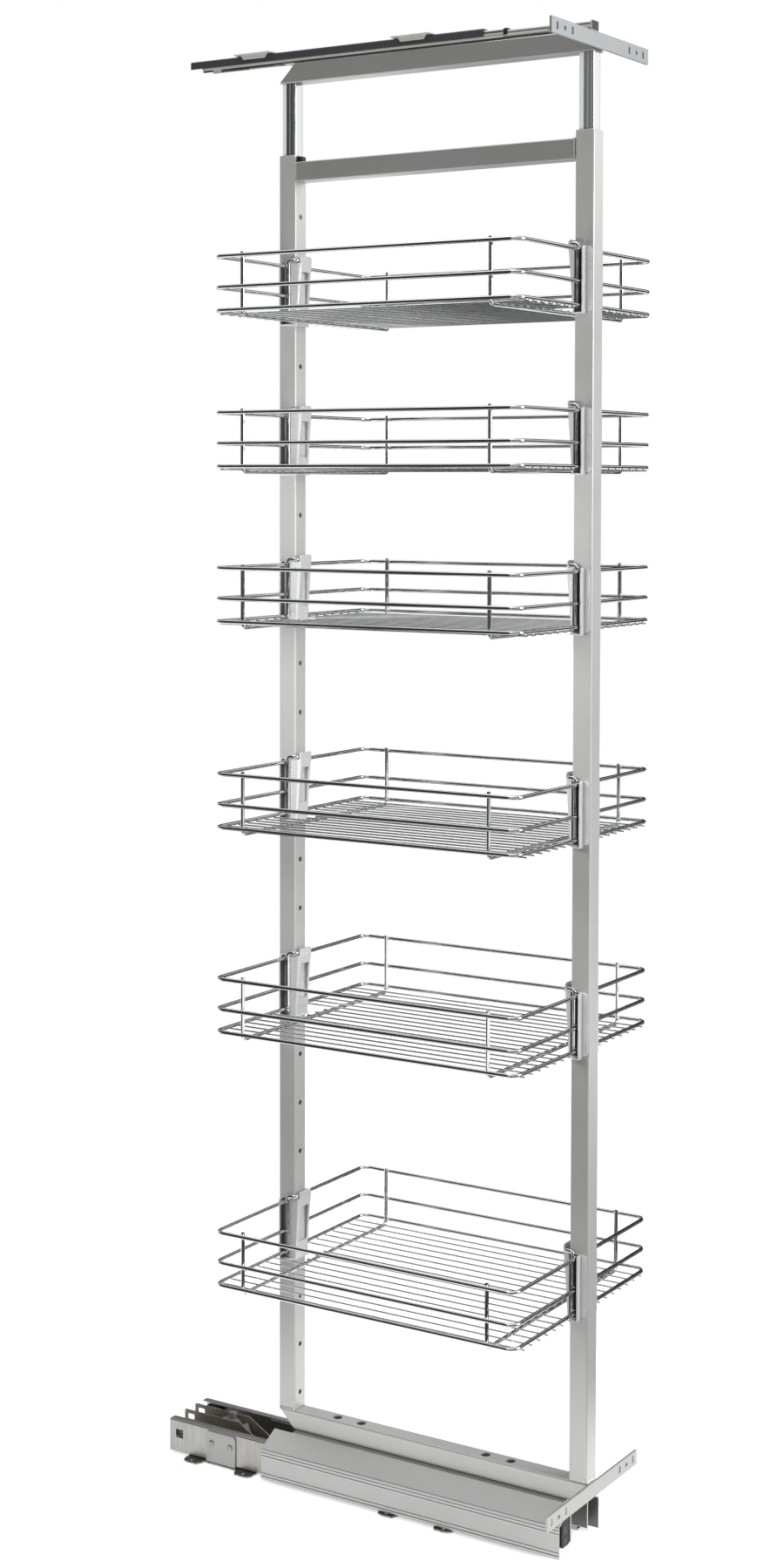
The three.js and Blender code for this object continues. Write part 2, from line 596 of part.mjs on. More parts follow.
function frontBuffer() {
  const inX = -(WEB_X + WEB_T + GAP);
  const outX = -(RUNNER_X + BUFFER.proud);
  const foot = RUNNER_Z[0] + BUFFER.foot;
  const head = RUNNER_Z[1] + BUFFER.head;
  const cut = BUFFER.cut;
  const outline = [[inX, foot], [inX, head], [outX + cut, head - cut], [outX, head - 2.5 * cut], [outX, foot + cut],
    [outX + cut, foot]];
  const back = INNER_Y[0] - GAP;
  place('front_buffer', prism(shapeOf(outline), 'y', back - BUFFER.length, back), BLACK);
}

function baseRunner() {
  for (const [side, tag] of [[-1, 'near'], [1, 'far']]) {
    slidePair(side, tag);
    cover(side, tag);
    sidePlate('rear', side, tag, FOOT_Y[0]);
    sidePlate('front', side, tag, FOOT_Y[1]);
  }
  footPlate('foot_rear', FOOT_Y[0]);
  footPlate('foot_front', FOOT_Y[1]);
  softClose();
  frontBuffer();
}

// --- top runner -----------------------------------------------------------------------------------
// Inverted U section: outer half width, top, foot and wall.
function hood(x, top, foot, t) {
  return shapeOf([[-x, foot], [-x + t, foot], [-x + t, top - t], [x - t, top - t], [x - t, foot], [x, foot],
    [x, top], [-x, top]]);
}

function ceilingClip(name, cy, hoodX, hoodTop) {
  const h = CLIP_LENGTH / 2;
  const clipX = hoodX + GAP + CLIP_T;
  const seat = hoodTop + GAP;
  const edge = (CLIP_X - clipX) / 1.1;
  const bores = [1, -1].map((s) => ring(SCREW_HOLE_R, 8, 0, s * (CLIP_X - edge), cy + s * (h - 2 * edge)));
  const top = prism(shapeOf([[-CLIP_X, cy - h], [CLIP_X, cy - h], [CLIP_X, cy + h], [-CLIP_X, cy + h]], bores),
    'z', seat, seat + CLIP_T);
  const grip = prism(hood(clipX, seat + CLIP_T / 2, seat - CLIP_GRIP, CLIP_T), 'y', cy - CLIP_TAB / 2, cy + CLIP_TAB / 2);
  const trim = block([-clipX + CLIP_T, clipX - CLIP_T], [cy - h, cy + h], [seat - CLIP_GRIP - 1, seat]);
  place(name, cut(join([top, grip]), [trim]), ZINC);
}

function topRunner() {
  const { x, z, y } = RAIL_IN;
  const cradle = shapeOf([[-x, z], [x, z], [x, RAIL_TOP_IN], [x - RAIL_T, RAIL_TOP_IN], [x - RAIL_T, z + RAIL_T],
    [-x + RAIL_T, z + RAIL_T], [-x + RAIL_T, RAIL_TOP_IN], [-x, RAIL_TOP_IN]]);
  const endPlate = block([-x - CAP_T, x + CAP_T], [y[0] - RAIL_T, y[0] + RAIL_T / 4], [z, z + RAIL_STOP]);
  place('top_rail_inner', join([prism(cradle, 'y', ...y), endPlate]), ZINC);
  const midX = x + RUN + RAIL_T;
  const midTop = RAIL_TOP_IN + RUN + RAIL_T;
  place('top_rail_middle', prism(hood(midX, midTop, z + RAIL_FOOT.middle, RAIL_T), 'y',
    RAIL_MID_FRONT, RAIL_MID_FRONT + RAIL_LENGTH), ZINC);
  const outX = midX + RUN + RAIL_T;
  const outTop = midTop + RUN + RAIL_T;
  place('top_rail_outer', prism(hood(outX, outTop, z + RAIL_FOOT.outer, RAIL_T), 'y',
    RAIL_OUT_FRONT, RAIL_OUT_FRONT + RAIL_LENGTH), ZINC);
  const tip = RAIL_OUT_FRONT - GAP;
  place('top_rail_cap', prism(hood(outX + CAP_T, outTop + CAP_T, z + RAIL_FOOT.outer, RAIL_T + CAP_T), 'y',
    tip - CAP_LENGTH, tip), BLACK);
  const hoodX = outX + GAP + HOOD_T;
  const hoodTop = outTop + GAP + HOOD_T;
  const hoodFront = RAIL_OUT_FRONT + HOOD_START;
  place('top_rail_hood', prism(hood(hoodX, hoodTop, hoodTop - HOOD_H, HOOD_T), 'y',
    hoodFront, hoodFront + HOOD_LENGTH), HOOD_BLACK);
  ceilingClip('ceiling_clip_rear', hoodFront + HOOD_LENGTH - CLIP_BACK.rear, hoodX, hoodTop);
  ceilingClip('ceiling_clip_front', hoodFront + HOOD_LENGTH - CLIP_BACK.front, hoodX, hoodTop);
}

baseRunner();
mitredBeam('bottom_beam', BEAM_Z, true, [...BEAM_HOLE_IN.rear.map((d) => UPRIGHT_Y - d),
  ...BEAM_HOLE_IN.front.map((d) => d - UPRIGHT_Y)]);
upright('upright_rear', 1);
upright('upright_front', -1);
crossbar();
const lugTop = BEAM_TOP - TUBE_WALL - GAP;
doorBar('door_bar_lower', LOWER_BAR, [lugTop - LUG_T, lugTop]);
mast('mast_rear', 1);
mast('mast_front', -1);
mitredBeam('top_beam', TOP_BEAM_Z, false, []);
const lugFoot = TOP_BEAM_Z + TUBE_WALL + GAP;
doorBar('door_bar_upper', UPPER_BAR, [lugFoot, lugFoot + LUG_T]);
topRunner();
hangBaskets();

// Row origin: under the middle of the whole unit.
larder.position.y = -(OUTER_Y[1] + BAR_BACK - BAR_T) / 2;

export default larder;
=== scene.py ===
"""Looks of a pull-out larder unit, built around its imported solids.
"""
import json
import math

import bmesh
import bpy
from mathutils import Matrix, Vector
from mathutils.geometry import tessellate_polygon

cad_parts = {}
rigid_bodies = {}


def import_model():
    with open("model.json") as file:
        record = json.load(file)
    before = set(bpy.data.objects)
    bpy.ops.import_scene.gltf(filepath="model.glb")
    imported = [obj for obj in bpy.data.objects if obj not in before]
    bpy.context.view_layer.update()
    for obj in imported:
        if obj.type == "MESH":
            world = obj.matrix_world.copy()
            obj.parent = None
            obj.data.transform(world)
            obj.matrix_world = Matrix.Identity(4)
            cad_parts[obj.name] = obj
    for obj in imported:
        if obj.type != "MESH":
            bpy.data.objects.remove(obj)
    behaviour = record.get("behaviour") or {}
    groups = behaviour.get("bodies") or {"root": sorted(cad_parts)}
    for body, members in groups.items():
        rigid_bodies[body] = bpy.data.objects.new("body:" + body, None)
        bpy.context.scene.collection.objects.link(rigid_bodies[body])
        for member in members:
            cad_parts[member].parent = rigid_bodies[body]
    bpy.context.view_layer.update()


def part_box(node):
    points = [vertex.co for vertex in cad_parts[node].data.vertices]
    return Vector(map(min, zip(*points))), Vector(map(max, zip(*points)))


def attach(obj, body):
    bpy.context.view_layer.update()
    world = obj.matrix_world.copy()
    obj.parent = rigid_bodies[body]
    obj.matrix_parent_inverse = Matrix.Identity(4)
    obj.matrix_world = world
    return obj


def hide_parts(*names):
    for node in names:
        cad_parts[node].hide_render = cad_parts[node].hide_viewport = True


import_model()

MM = 0.001


def middle(node):
    low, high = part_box(node)
    return (low + high) / 2


SHIFT_Y = (middle("upright_rear").y + middle("upright_front").y) / 2

# --- sizes of the unit, in millimetres ---
GAP = 0.3
TUBE = 25.0
HALF = TUBE / 2
TUBE_WALL = 2.1
TUBE_R = 2.0
TUBE_IN = TUBE - 2 * TUBE_WALL
TUBE_IN_R = 0.8
UPRIGHT_Y = 215.0
FRAME_END = UPRIGHT_Y + HALF
BEAM_Z = 60.0
BEAM_TOP = BEAM_Z + TUBE
UPRIGHT_FOOT = BEAM_TOP + GAP
UPRIGHT_TOP = 1721.0
CROSS_Z = UPRIGHT_TOP - 34
TOP_BEAM_Z = 1813.3
TOP_BEAM_TOP = TOP_BEAM_Z + TUBE
HOLE_PITCH = 64.0
HOLE_TOP_Z = UPRIGHT_TOP - 78.5
HOLE_COUNT = 25
HOLE_R = 3.3
BEAM_HOLE_R = 6.2
MAST, MAST_WALL = 20.0, 1.6
MAST_TOP = TOP_BEAM_Z - GAP
MAST_FOOT = MAST_TOP - 253
BASKET_HOLES = [1, 4, 7, 11, 15, 20]
RIM_X, RIM_Y, RIM_R, RIM_BEND = 170.5, 214.1, 2.5, 12.0
RIM_DROPS = [0.0, 38.0, 66.4]
LEG_X, LEG_Y = 17.25, 209.9
LOOP_Z, LOOP_Y = 7.25, 198.6
LEG_FOOT = -68.9
STRUT_Y, STRUT_X, STRUT_TOP, STRUT_FOOT = 175.0, 166.3, 4.5, -72.9
FLOOR_R, FLOOR_Z, FLOOR_PITCH, FLOOR_SIDE = 1.2, -70.11, 19.2, 8
FLOOR_LONG, FLOOR_SHORT = 217.6, 178.5
FEET = (("rear", 300.0), ("front", -6.0))
ENDS = (("rear", 1), ("front", -1))
SIDES = ((-1, "near"), (1, "far"))


# --- outlines ---
def flat(points):
    return [Vector((p[0], p[1])) for p in points]


def area(loop):
    return sum(a.x * b.y - b.x * a.y for a, b in zip(loop, loop[1:] + loop[:1])) / 2


def turned(loop, positive=True):
    """The outline running counter-clockwise, or clockwise for a hole."""
    loop = flat(loop)
    return loop if (area(loop) > 0) == positive else loop[::-1]


def rounded(points, radius, step=18):
    """An outline with arcs at its corners; radius is one number or one for each corner."""
    loop = flat(points)
    radii = radius if isinstance(radius, (list, tuple)) else [radius] * len(loop)
    out = []
    for i, (corner, r) in enumerate(zip(loop, radii)):
        back, on = loop[i - 1] - corner, loop[(i + 1) % len(loop)] - corner
        reach_max = 0.49 * min(back.length, on.length)
        back.normalize()
        on.normalize()
        half = math.acos(max(-1.0, min(1.0, back.dot(on)))) / 2
        if r <= 0 or half > 1.53:
            out.append(corner)
            continue
        reach = min(r / math.tan(half), reach_max)
        real = reach * math.tan(half)
        centre = corner + (back + on).normalized() * (real / math.sin(half))
        first, last = corner + back * reach - centre, corner + on * reach - centre
        turn = math.atan2(first.x * last.y - first.y * last.x, first.dot(last))
        count = max(1, round(abs(math.degrees(turn)) / step))
        for k in range(count + 1):
            t = turn * k / count
            out.append(centre + Vector((first.x * math.cos(t) - first.y * math.sin(t),
                                        first.x * math.sin(t) + first.y * math.cos(t))))
    return out


def inset(loop, depth):
    """The outline moved into its material by depth."""
    out = []
    for i, p in enumerate(loop):
        a = (p - loop[i - 1]).normalized()
        b = (loop[(i + 1) % len(loop)] - p).normalized()
        left_a, left_b = Vector((-a.y, a.x)), Vector((-b.y, b.x))
        out.append(p + (left_a + left_b) * (depth / max(0.4, 1 + left_a.dot(left_b))))
    return out


def rectangle(x0, x1, y0, y1):
    return [(x0, y0), (x1, y0), (x1, y1), (x0, y1)]


def panel(x0, x1, y0, y1, radius, step=30):
    return rounded(rectangle(x0, x1, y0, y1), radius, step)


def circle(cx, cy, r, sides):
    return [(cx + r * math.cos(2 * math.pi * k / sides), cy + r * math.sin(2 * math.pi * k / sides))
            for k in range(sides)]


def slot_outline(cx, cy, width, height):
    r, straight, sides = width / 2, (height - width) / 2, 8
    ends = [(cx + r * math.cos(math.pi * k / sides), cy + straight + r * math.sin(math.pi * k / sides))
            for k in range(sides + 1)]
    return ends + [(2 * cx - x, 2 * cy - y) for x, y in ends]


def on_side(side, points):
    """The outline as it is for side 1, mirrored for side -1."""
    return [(side * x, y) for x, y in points]


# --- pieces in the making ---
AXES = {"x": (1, 2, 0), "y": (0, 2, 1), "z": (0, 1, 2)}


def spot(axis, u, v, w):
    p = [0.0, 0.0, 0.0]
    for place, number in zip(AXES[axis], (u, v, w)):
        p[place] = number
    return p


class Part:
    """Closed solids gathered into one mesh, in millimetres."""

    def __init__(self):
        self.bm = bmesh.new()

    def shell(self, levels, paint=0, edge_paint=None):
        """Levels are lists of rings of points; each ring is joined to the next level's.

        Both ends are capped.
        """
        rows = [[[self.bm.verts.new(p) for p in ring] for ring in level] for level in levels]
        made = []
        side_paint = paint if edge_paint is None else edge_paint
        for low, high in zip(rows, rows[1:]):
            for a, b in zip(low, high):
                n = len(a)
                for i in range(n):
                    face = self.bm.faces.new((a[i], a[(i + 1) % n], b[(i + 1) % n], b[i]))
                    face.material_index = side_paint
                    made.append(face)
        for row in (rows[0], rows[-1]):
            corners = [v for ring in row for v in ring]
            for tri in tessellate_polygon([[v.co for v in ring] for ring in row]):
                if len(set(tri)) < 3:
                    continue
                face = self.bm.faces.new([corners[i] for i in tri])
                face.material_index = paint
                made.append(face)
        self.face_out(made)

    def face_out(self, faces):
        """Turns the faces of one closed solid outward."""
        bmesh.ops.recalc_face_normals(self.bm, faces=faces)
        volume = 0.0
        for face in faces:
            a = face.verts[0].co
            for one, other in zip(face.verts[1:], face.verts[2:]):
                volume += a.dot(one.co.cross(other.co))
        if volume < 0:
            bmesh.ops.reverse_faces(self.bm, faces=faces)

    def prism(self, outline, axis, a, b, holes=(), edge=0.3, paint=0, edge_paint=None, mitre=(0, 0),
              side=1):
        """Outline pushed along an axis from a to b, or from -a to -b where side is -1.

        The edges of the ends are broken; mitre is the slope of each end.
        """
        a, b = sorted((side * a, side * b))
        loops = [turned(outline)] + [turned(h, False) for h in holes]
        steps = [(a, 0, 0), (b, 0, 1)]
        if edge:
            steps = [(a, edge, 0), (a + edge, 0, 0), (b - edge, 0, 1), (b, edge, 1)]
        levels = []
        for w, back, end in steps:
            levels.append([[spot(axis, p.x, p.y, w + mitre[end] * p.y) for p in inset(loop, back)]
                           for loop in loops])
        self.shell(levels, paint, edge_paint)

    def add(self, mesh, paint=0):
        """A finished mesh, taken in with one paint."""
        start = len(self.bm.faces)
        self.bm.from_mesh(mesh)
        self.bm.faces.ensure_lookup_table()
        taken = self.bm.faces[start:]
        for face in taken:
            face.material_index = paint
        self.face_out(taken)
        return self

    def mesh(self):
        made = bpy.data.meshes.new("part")
        self.bm.to_mesh(made)
        return made


def settled(obj, name):
    """The evaluated object as a plain mesh; the object itself is dropped."""
    bpy.context.view_layer.update()
    graph = bpy.context.evaluated_depsgraph_get()
    mesh = bpy.data.meshes.new_from_object(obj.evaluated_get(graph), preserve_all_data_layers=True,
                                           depsgraph=graph)
    mesh.name = name
    bpy.data.objects.remove(obj)
    return mesh


def scene_object(name, data):
    obj = bpy.data.objects.new(name, data)
    bpy.context.scene.collection.objects.link(obj)
    return obj


def carved(mesh, tool_mesh):
    """The first mesh with the second cut out of it."""
    target, tool = scene_object("carved", mesh), scene_object("carver", tool_mesh)
    cut = target.modifiers.new("cut", "BOOLEAN")
    cut.operation, cut.solver, cut.object = "DIFFERENCE", "EXACT", tool
    result = settled(target, "carved")
    bpy.data.objects.remove(tool)
    return result


def finish(mesh, name, body, paints, nodes, sharp=34, place=None):
    """A mesh in millimetres becomes a piece of the unit that rides on a body and stands for its nodes."""
    mesh = mesh.copy()
    mesh.name = name
    if place is not None:
        mesh.transform(place)
    mesh.transform(Matrix.Translation((0, SHIFT_Y, 0)) @ Matrix.Scale(MM, 4))
    kept = [min(face.material_index, len(paints) - 1) for face in mesh.polygons]
    mesh.materials.clear()
    for paint in paints:
        mesh.materials.append(paint)
    mesh.polygons.foreach_set("material_index", kept)
    mesh.polygons.foreach_set("use_smooth", [True] * len(mesh.polygons))
    mesh.set_sharp_from_angle(angle=math.radians(sharp))
    obj = scene_object(name, mesh)
    even = obj.modifiers.new("even_shading", "WEIGHTED_NORMAL")
    even.keep_sharp = True
    even.weight = 80
    final = settled(obj, name)
    obj = scene_object(name, final)
    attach(obj, body)
    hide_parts(*nodes)
    return obj


# --- node trees ---
class Value:
    """A socket that can stand in a sum."""

    def __init__(self, tree, socket):
        self.tree, self.socket = tree, socket

    def maths(self, operation, *terms):
        node = self.tree.nodes.new("ShaderNodeMath")
        node.operation = operation
        for socket, term in zip(node.inputs, terms):
            plug(self.tree, term, socket)
        return Value(self.tree, node.outputs[0])

    __add__ = __radd__ = lambda self, other: self.maths("ADD", self, other)
    __sub__ = lambda self, other: self.maths("SUBTRACT", self, other)
    __rsub__ = lambda self, other: self.maths("SUBTRACT", other, self)
    __mul__ = __rmul__ = lambda self, other: self.maths("MULTIPLY", self, other)
    __truediv__ = lambda self, other: self.maths("DIVIDE", self, other)
    __neg__ = lambda self: self.maths("MULTIPLY", self, -1.0)
    __lt__ = lambda self, other: self.maths("LESS_THAN", self, other)
    __abs__ = lambda self: self.maths("ABSOLUTE", self)
    most = lambda self, other: self.maths("MAXIMUM", self, other)


def plug(tree, term, socket):
    if isinstance(term, Value):
        tree.links.new(term.socket, socket)
    else:
        socket.default_value = term


class Tree:
    """A node tree under construction."""

    def __init__(self, tree):
        self.tree = tree

    def node(self, kind, sockets=None, out=0, **settings):
        """A node: its settings first, then the values or links of its sockets; returns its outputs."""
        node = self.tree.nodes.new(kind)
        for name, value in settings.items():
            setattr(node, name, value)
        for key, term in (sockets or {}).items():
            plug(self.tree, term, node.inputs[key])
        if out is None:
            return node
        if isinstance(out, tuple):
            return [Value(self.tree, node.outputs[o]) for o in out]
        return Value(self.tree, node.outputs[out])


def cleared(block):
    """The emptied node tree of a material or world."""
    block.use_nodes = True
    block.node_tree.nodes.clear()
    return Tree(block.node_tree)


class ShapeTree(Tree):
    """A geometry tree with named inputs."""

    KINDS = {"mesh": "NodeSocketGeometry", "length": "NodeSocketFloat", "count": "NodeSocketInt",
             "place": "NodeSocketVector", "finish": "NodeSocketMaterial"}

    def __init__(self, name, **inputs):
        super().__init__(bpy.data.node_groups.new(name, "GeometryNodeTree"))
        face = self.tree.interface
        face.new_socket("Shape", in_out="OUTPUT", socket_type="NodeSocketGeometry")
        self.ids = {}
        face.new_socket("Shape", in_out="INPUT", socket_type="NodeSocketGeometry")
        for key, kind in inputs.items():
            made = face.new_socket(key.replace("_", " "), in_out="INPUT", socket_type=self.KINDS[kind])
            self.ids[key] = made.identifier
        self.entry = self.tree.nodes.new("NodeGroupInput")
        self.shape = Value(self.tree, self.entry.outputs[0])

    def given(self, key):
        return Value(self.tree, next(o for o in self.entry.outputs if o.identifier == self.ids[key]))

    def close(self, shape):
        """Ends the tree: instances made real, smooth faces and the finish set."""
        real = self.node("GeometryNodeRealizeInstances", {0: shape})
        smooth = self.node("GeometryNodeSetShadeSmooth", {0: real})
        coloured = self.node("GeometryNodeSetMaterial", {
            "Geometry": smooth, "Material": self.given("finish")})
        exit_node = self.tree.nodes.new("NodeGroupOutput")
        self.tree.links.new(coloured.socket, exit_node.inputs[0])

    def run(self, name, data, finish_paint, **values):
        """Applies the tree to a mesh or curve and gives the plain mesh."""
        obj = scene_object(name, data)
        modifier = obj.modifiers.new(name, "NODES")
        modifier.node_group = self.tree
        modifier[self.ids["finish"]] = finish_paint
        for key, value in values.items():
            modifier[self.ids[key]] = value
        return settled(obj, name)


def combine(tree, x, y, z):
    return tree.node("ShaderNodeCombineXYZ", {0: x, 1: y, 2: z})


def rod(tree, path):
    """Round wire along a path, as thick and as many-sided as the tree is given."""
    ring = tree.node("GeometryNodeCurvePrimitiveCircle", {
        "Resolution": tree.given("sides"), "Radius": tree.given("radius")}, mode="RADIUS")
    return tree.node("GeometryNodeCurveToMesh", {
        "Curve": path, "Profile Curve": ring, "Fill Caps": True})


def row_of_points(tree, count, start, offset):
    return tree.node("GeometryNodeMeshLine", {
        "Count": count, "Start Location": start, "Offset": offset}, mode="OFFSET")


def wire_tree():
    """Round wire along each line of a curve."""
    tree = ShapeTree("round_wire", radius="length", sides="count", finish="finish")
    tree.close(rod(tree, tree.shape))
    return tree


def floor_tree():
    """Row of straight parallel wires along y, the ones in the middle shorter."""
    tree = ShapeTree("floor_wires", pitch="length", wires="count", short_wires="count",
                     long_reach="length", short_reach="length", height="length", radius="length",
                     sides="count", finish="finish")
    pitch, wires = tree.given("pitch"), tree.given("wires")
    half = (wires - 1) / 2
    line = row_of_points(tree, wires, combine(tree, -half * pitch, 0.0, tree.given("height")),
                         combine(tree, pitch, 0.0, 0.0))
    index = tree.node("GeometryNodeInputIndex")
    inner = abs(index - half) < tree.given("short_wires") / 2
    joined = tree.node("GeometryNodeJoinGeometry", out=None)
    for reach, chosen in (("long_reach", 1 - inner), ("short_reach", inner)):
        length = tree.given(reach)
        path = tree.node("GeometryNodeCurvePrimitiveLine", {
            "Start": combine(tree, 0.0, -length, 0.0), "End": combine(tree, 0.0, length, 0.0)},
            mode="POINTS")
        row = tree.node("GeometryNodeInstanceOnPoints", {
            "Points": line, "Selection": chosen, "Instance": rod(tree, path)})
        plug(tree.tree, row, joined.inputs[0])
    tree.close(Value(tree.tree, joined.outputs[0]))
    return tree


def hole_tree():
    """A row of round holes cut through one wall; it starts at a place and steps along an offset."""
    tree = ShapeTree("row_of_holes", holes="count", first="place", offset="place",
                     hole_radius="length", depth="length", turn="place", sides="count", finish="finish")
    line = row_of_points(tree, tree.given("holes"), tree.given("first"), tree.given("offset"))
    drill = tree.node("GeometryNodeMeshCylinder", {
        "Vertices": tree.given("sides"), "Radius": tree.given("hole_radius"), "Depth": tree.given("depth")})
    placed = tree.node("GeometryNodeInstanceOnPoints", {
        "Points": line, "Instance": drill, "Rotation": tree.given("turn")})
    real = tree.node("GeometryNodeRealizeInstances", {0: placed})
    tree.close(tree.node("GeometryNodeMeshBoolean", {"Mesh 1": tree.shape, "Mesh 2": real},
                         operation="DIFFERENCE", solver="EXACT"))
    return tree


def weld_tree(name, on_curve):
    """Weld drops, each a little different: along a path, or one at every point of a mesh."""
    own = {"pitch": "length"} if on_curve else {}
    tree = ShapeTree(name, radius="length", stretch="length", vary="length", seed="count",
                     finish="finish", **own)
    points, segments, rings = tree.shape, 8, 5
    if on_curve:
        points = tree.node("GeometryNodeCurveToPoints", {
            "Curve": tree.shape, "Length": tree.given("pitch")}, mode="LENGTH")
        segments, rings = 10, 6
    drop = tree.node("GeometryNodeMeshUVSphere", {
        "Segments": segments, "Rings": rings, "Radius": tree.given("radius")})
    vary = tree.given("vary")
    scale = tree.node("FunctionNodeRandomValue", {
        2: 1 - vary, 3: 1 + vary, "Seed": tree.given("seed")}, out=1, data_type="FLOAT")
    stretched = scale * tree.given("stretch")
    size = (scale, stretched, scale) if on_curve else (scale, scale, stretched)
    tree.close(tree.node("GeometryNodeInstanceOnPoints", {
        "Points": points, "Instance": drop, "Scale": combine(tree, *size)}))
    return tree


WIRE, FLOOR_ROW, HOLES = wire_tree(), floor_tree(), hole_tree()
BEAD, DROPS = weld_tree("weld_run", True), weld_tree("weld_drops", False)


def path_points(corners, bend, steps=7):
    """A wire's centreline: each corner becomes an arc."""
    corners = [Vector(c) for c in corners]
    out = [corners[0]]
    for before, here, after in zip(corners, corners[1:], corners[2:]):
        a, b = (before - here).normalized(), (after - here).normalized()
        centre = here + (a + b) * bend
        for k in range(steps + 1):
            t = math.pi / 2 * k / steps
            out.append(centre - b * bend * math.cos(t) - a * bend * math.sin(t))
    return out + [corners[-1]]


def curve_of(name, paths):
    data = bpy.data.curves.new(name, "CURVE")
    data.dimensions = "3D"
    for path in paths:
        spline = data.splines.new("POLY")
        spline.points.add(len(path) - 1)
        for point, p in zip(spline.points, path):
            point.co = (p[0], p[1], p[2], 1.0)
    return data


def plain_mesh(name, points, faces=()):
    mesh = bpy.data.meshes.new(name)
    mesh.from_pydata(points, [], faces)
    return mesh


# --- finishes ---
def grey(level, tint=(1.0, 1.0, 1.0)):
    return tuple(level * t for t in tint) + (1.0,)


class Finish(Tree):
    """A surface finish: the shader's own numbers first, then what varies over the surface."""

    def __init__(self, name, **numbers):
        self.material = bpy.data.materials.new(name)
        self.material.use_nodes = True
        super().__init__(self.material.node_tree)
        self.tree.nodes.clear()
        self.shader = self.tree.nodes.new("ShaderNodeBsdfPrincipled")
        output = self.tree.nodes.new("ShaderNodeOutputMaterial")
        self.tree.links.new(self.shader.outputs[0], output.inputs[0])
        self.place = self.node("ShaderNodeTexCoord", out="Object")
        for key, value in numbers.items():
            self.set(key.replace("_", " "), value)

    def set(self, key, term):
        plug(self.tree, term, self.shader.inputs[key])

    def scaled(self, x, y, z):
        return self.node("ShaderNodeMapping", {"Vector": self.place, "Scale": (x, y, z)})

    def noise(self, scale, detail=3.0, rough=0.55, vector=None, warp=0.0):
        return self.node("ShaderNodeTexNoise", {
            "Vector": vector or self.place, "Scale": scale, "Detail": detail, "Roughness": rough,
            "Distortion": warp}, out="Fac")

    def band(self, value, low, high):
        """0 below low, 1 above high, with a soft step between."""
        return self.node("ShaderNodeMapRange", {
            "Value": value, "From Min": low, "From Max": high}, interpolation_type="SMOOTHSTEP")

    def blend(self, factor, a, b):
        return self.node("ShaderNodeMix", {0: factor, 6: a, 7: b}, out=2, data_type="RGBA")

    def shade(self, colour, level):
        """A colour made lighter or darker by a value."""
        even = self.node("ShaderNodeCombineColor", {0: level, 1: level, 2: level})
        return self.node("ShaderNodeMix", {0: 1.0, 6: colour, 7: even}, out=2, data_type="RGBA",
                         blend_type="MULTIPLY")

    def done(self, colour, roughness, height=None, strength=0.0, distance=0.0):
        """The material, with its colour, its roughness and a bump where a height is given."""
        self.set("Base Color", colour)
        self.set("Roughness", roughness)
        if height:
            self.set("Normal", self.node("ShaderNodeBump", {
                "Height": height, "Strength": strength, "Distance": distance}))
        return self.material


def satin_silver(name, level=0.62, metal=0.48, roughness=0.36):
    """Silver powder paint: fine sparkle, soft clouds and a few handling marks."""
    f = Finish(name, Metallic=metal, IOR=1.5)
    grain, clouds, marks = f.noise(1500, 2), f.noise(9, 4), f.noise(60, 5, 0.7, warp=0.6)
    tone = 0.93 + 0.10 * grain + 0.05 * clouds - 0.06 * f.band(marks, 0.66, 0.78)
    return f.done(f.shade(grey(level, (1.0, 1.0, 0.985)), tone),
                  roughness - 0.05 + 0.10 * clouds + 0.08 * f.band(marks, 0.6, 0.75),
                  grain, 0.25, 0.00006)


def coat(name, noises, tone, rough, bump, level, tint=(1.0, 1.0, 1.0), **numbers):
    """A finish whose tone and roughness are a plain part and a share of each noise.

    A noise is (scale, detail, roughness), with the stretch along x, y and z last if it has one.
    """
    f = Finish(name, **numbers)
    fields = [f.noise(*n[:3], f.scaled(*n[3])) if len(n) > 3 else f.noise(*n) for n in noises]

    def mixed(plain, *shares):
        for share, field in zip(shares, fields):
            if share:
                plain = plain + share * field
        return plain

    return f.done(f.shade(grey(level, tint), mixed(*tone)), mixed(*rough), fields[bump[0]], *bump[1:])


def bright_chrome(name="bright_chrome", roughness=0.05):
    """Polished chrome with a faint waviness and small dull marks."""
    f = Finish(name, Metallic=1.0)
    wave, marks = f.noise(130, 3), f.noise(420, 4, 0.7)
    return f.done(f.shade(grey(0.74, (0.99, 1.0, 1.01)), 0.95 + 0.07 * wave),
                  roughness + 0.05 * f.band(marks, 0.5, 0.8) + 0.03 * wave, wave, 0.12, 0.0001)


def slid_chrome(end, side, polish):
    """Chrome of the inner tubes: the guides have rubbed a dull stripe down each side face."""
    f = Finish(f"slid_chrome_{end}", Metallic=1.0)
    middle_y = side * UPRIGHT_Y * MM + SHIFT_Y
    across = f.node("ShaderNodeSeparateXYZ", {0: f.place}, out=1) - middle_y
    streaks = f.noise(1.0, 3, 0.6, f.scaled(700, 700, 9))
    edge = across + 0.0008 * streaks
    rubbed = f.band(edge, 0.0030, 0.0040) * (1 - f.band(edge, 0.0088, 0.0094))
    line = f.band(edge, -0.0030, -0.0024) * (1 - f.band(edge, -0.0016, -0.0010))
    worn = rubbed.most(0.3 * line)
    f.set("Metallic", polish - 0.85 * polish * worn)
    return f.done(f.shade(grey(0.86, (0.985, 1.0, 1.01)), 0.93 + 0.08 * streaks),
                  0.04 + 0.03 * streaks + 0.3 * worn, streaks, 0.15, 0.00005)


def painted_groove_shade(name, level):
    """Painted shade: a dark lining for the groove that the basket's legs stand in."""
    return coat(name, [(1.0, 3, 0.6, (700, 700, 20))], (0.7, 0.6), (0.3, 0.15), (0, 0.2, 0.00005),
                level, (1.0, 1.0, 0.97), Metallic=0.3, IOR=1.5)


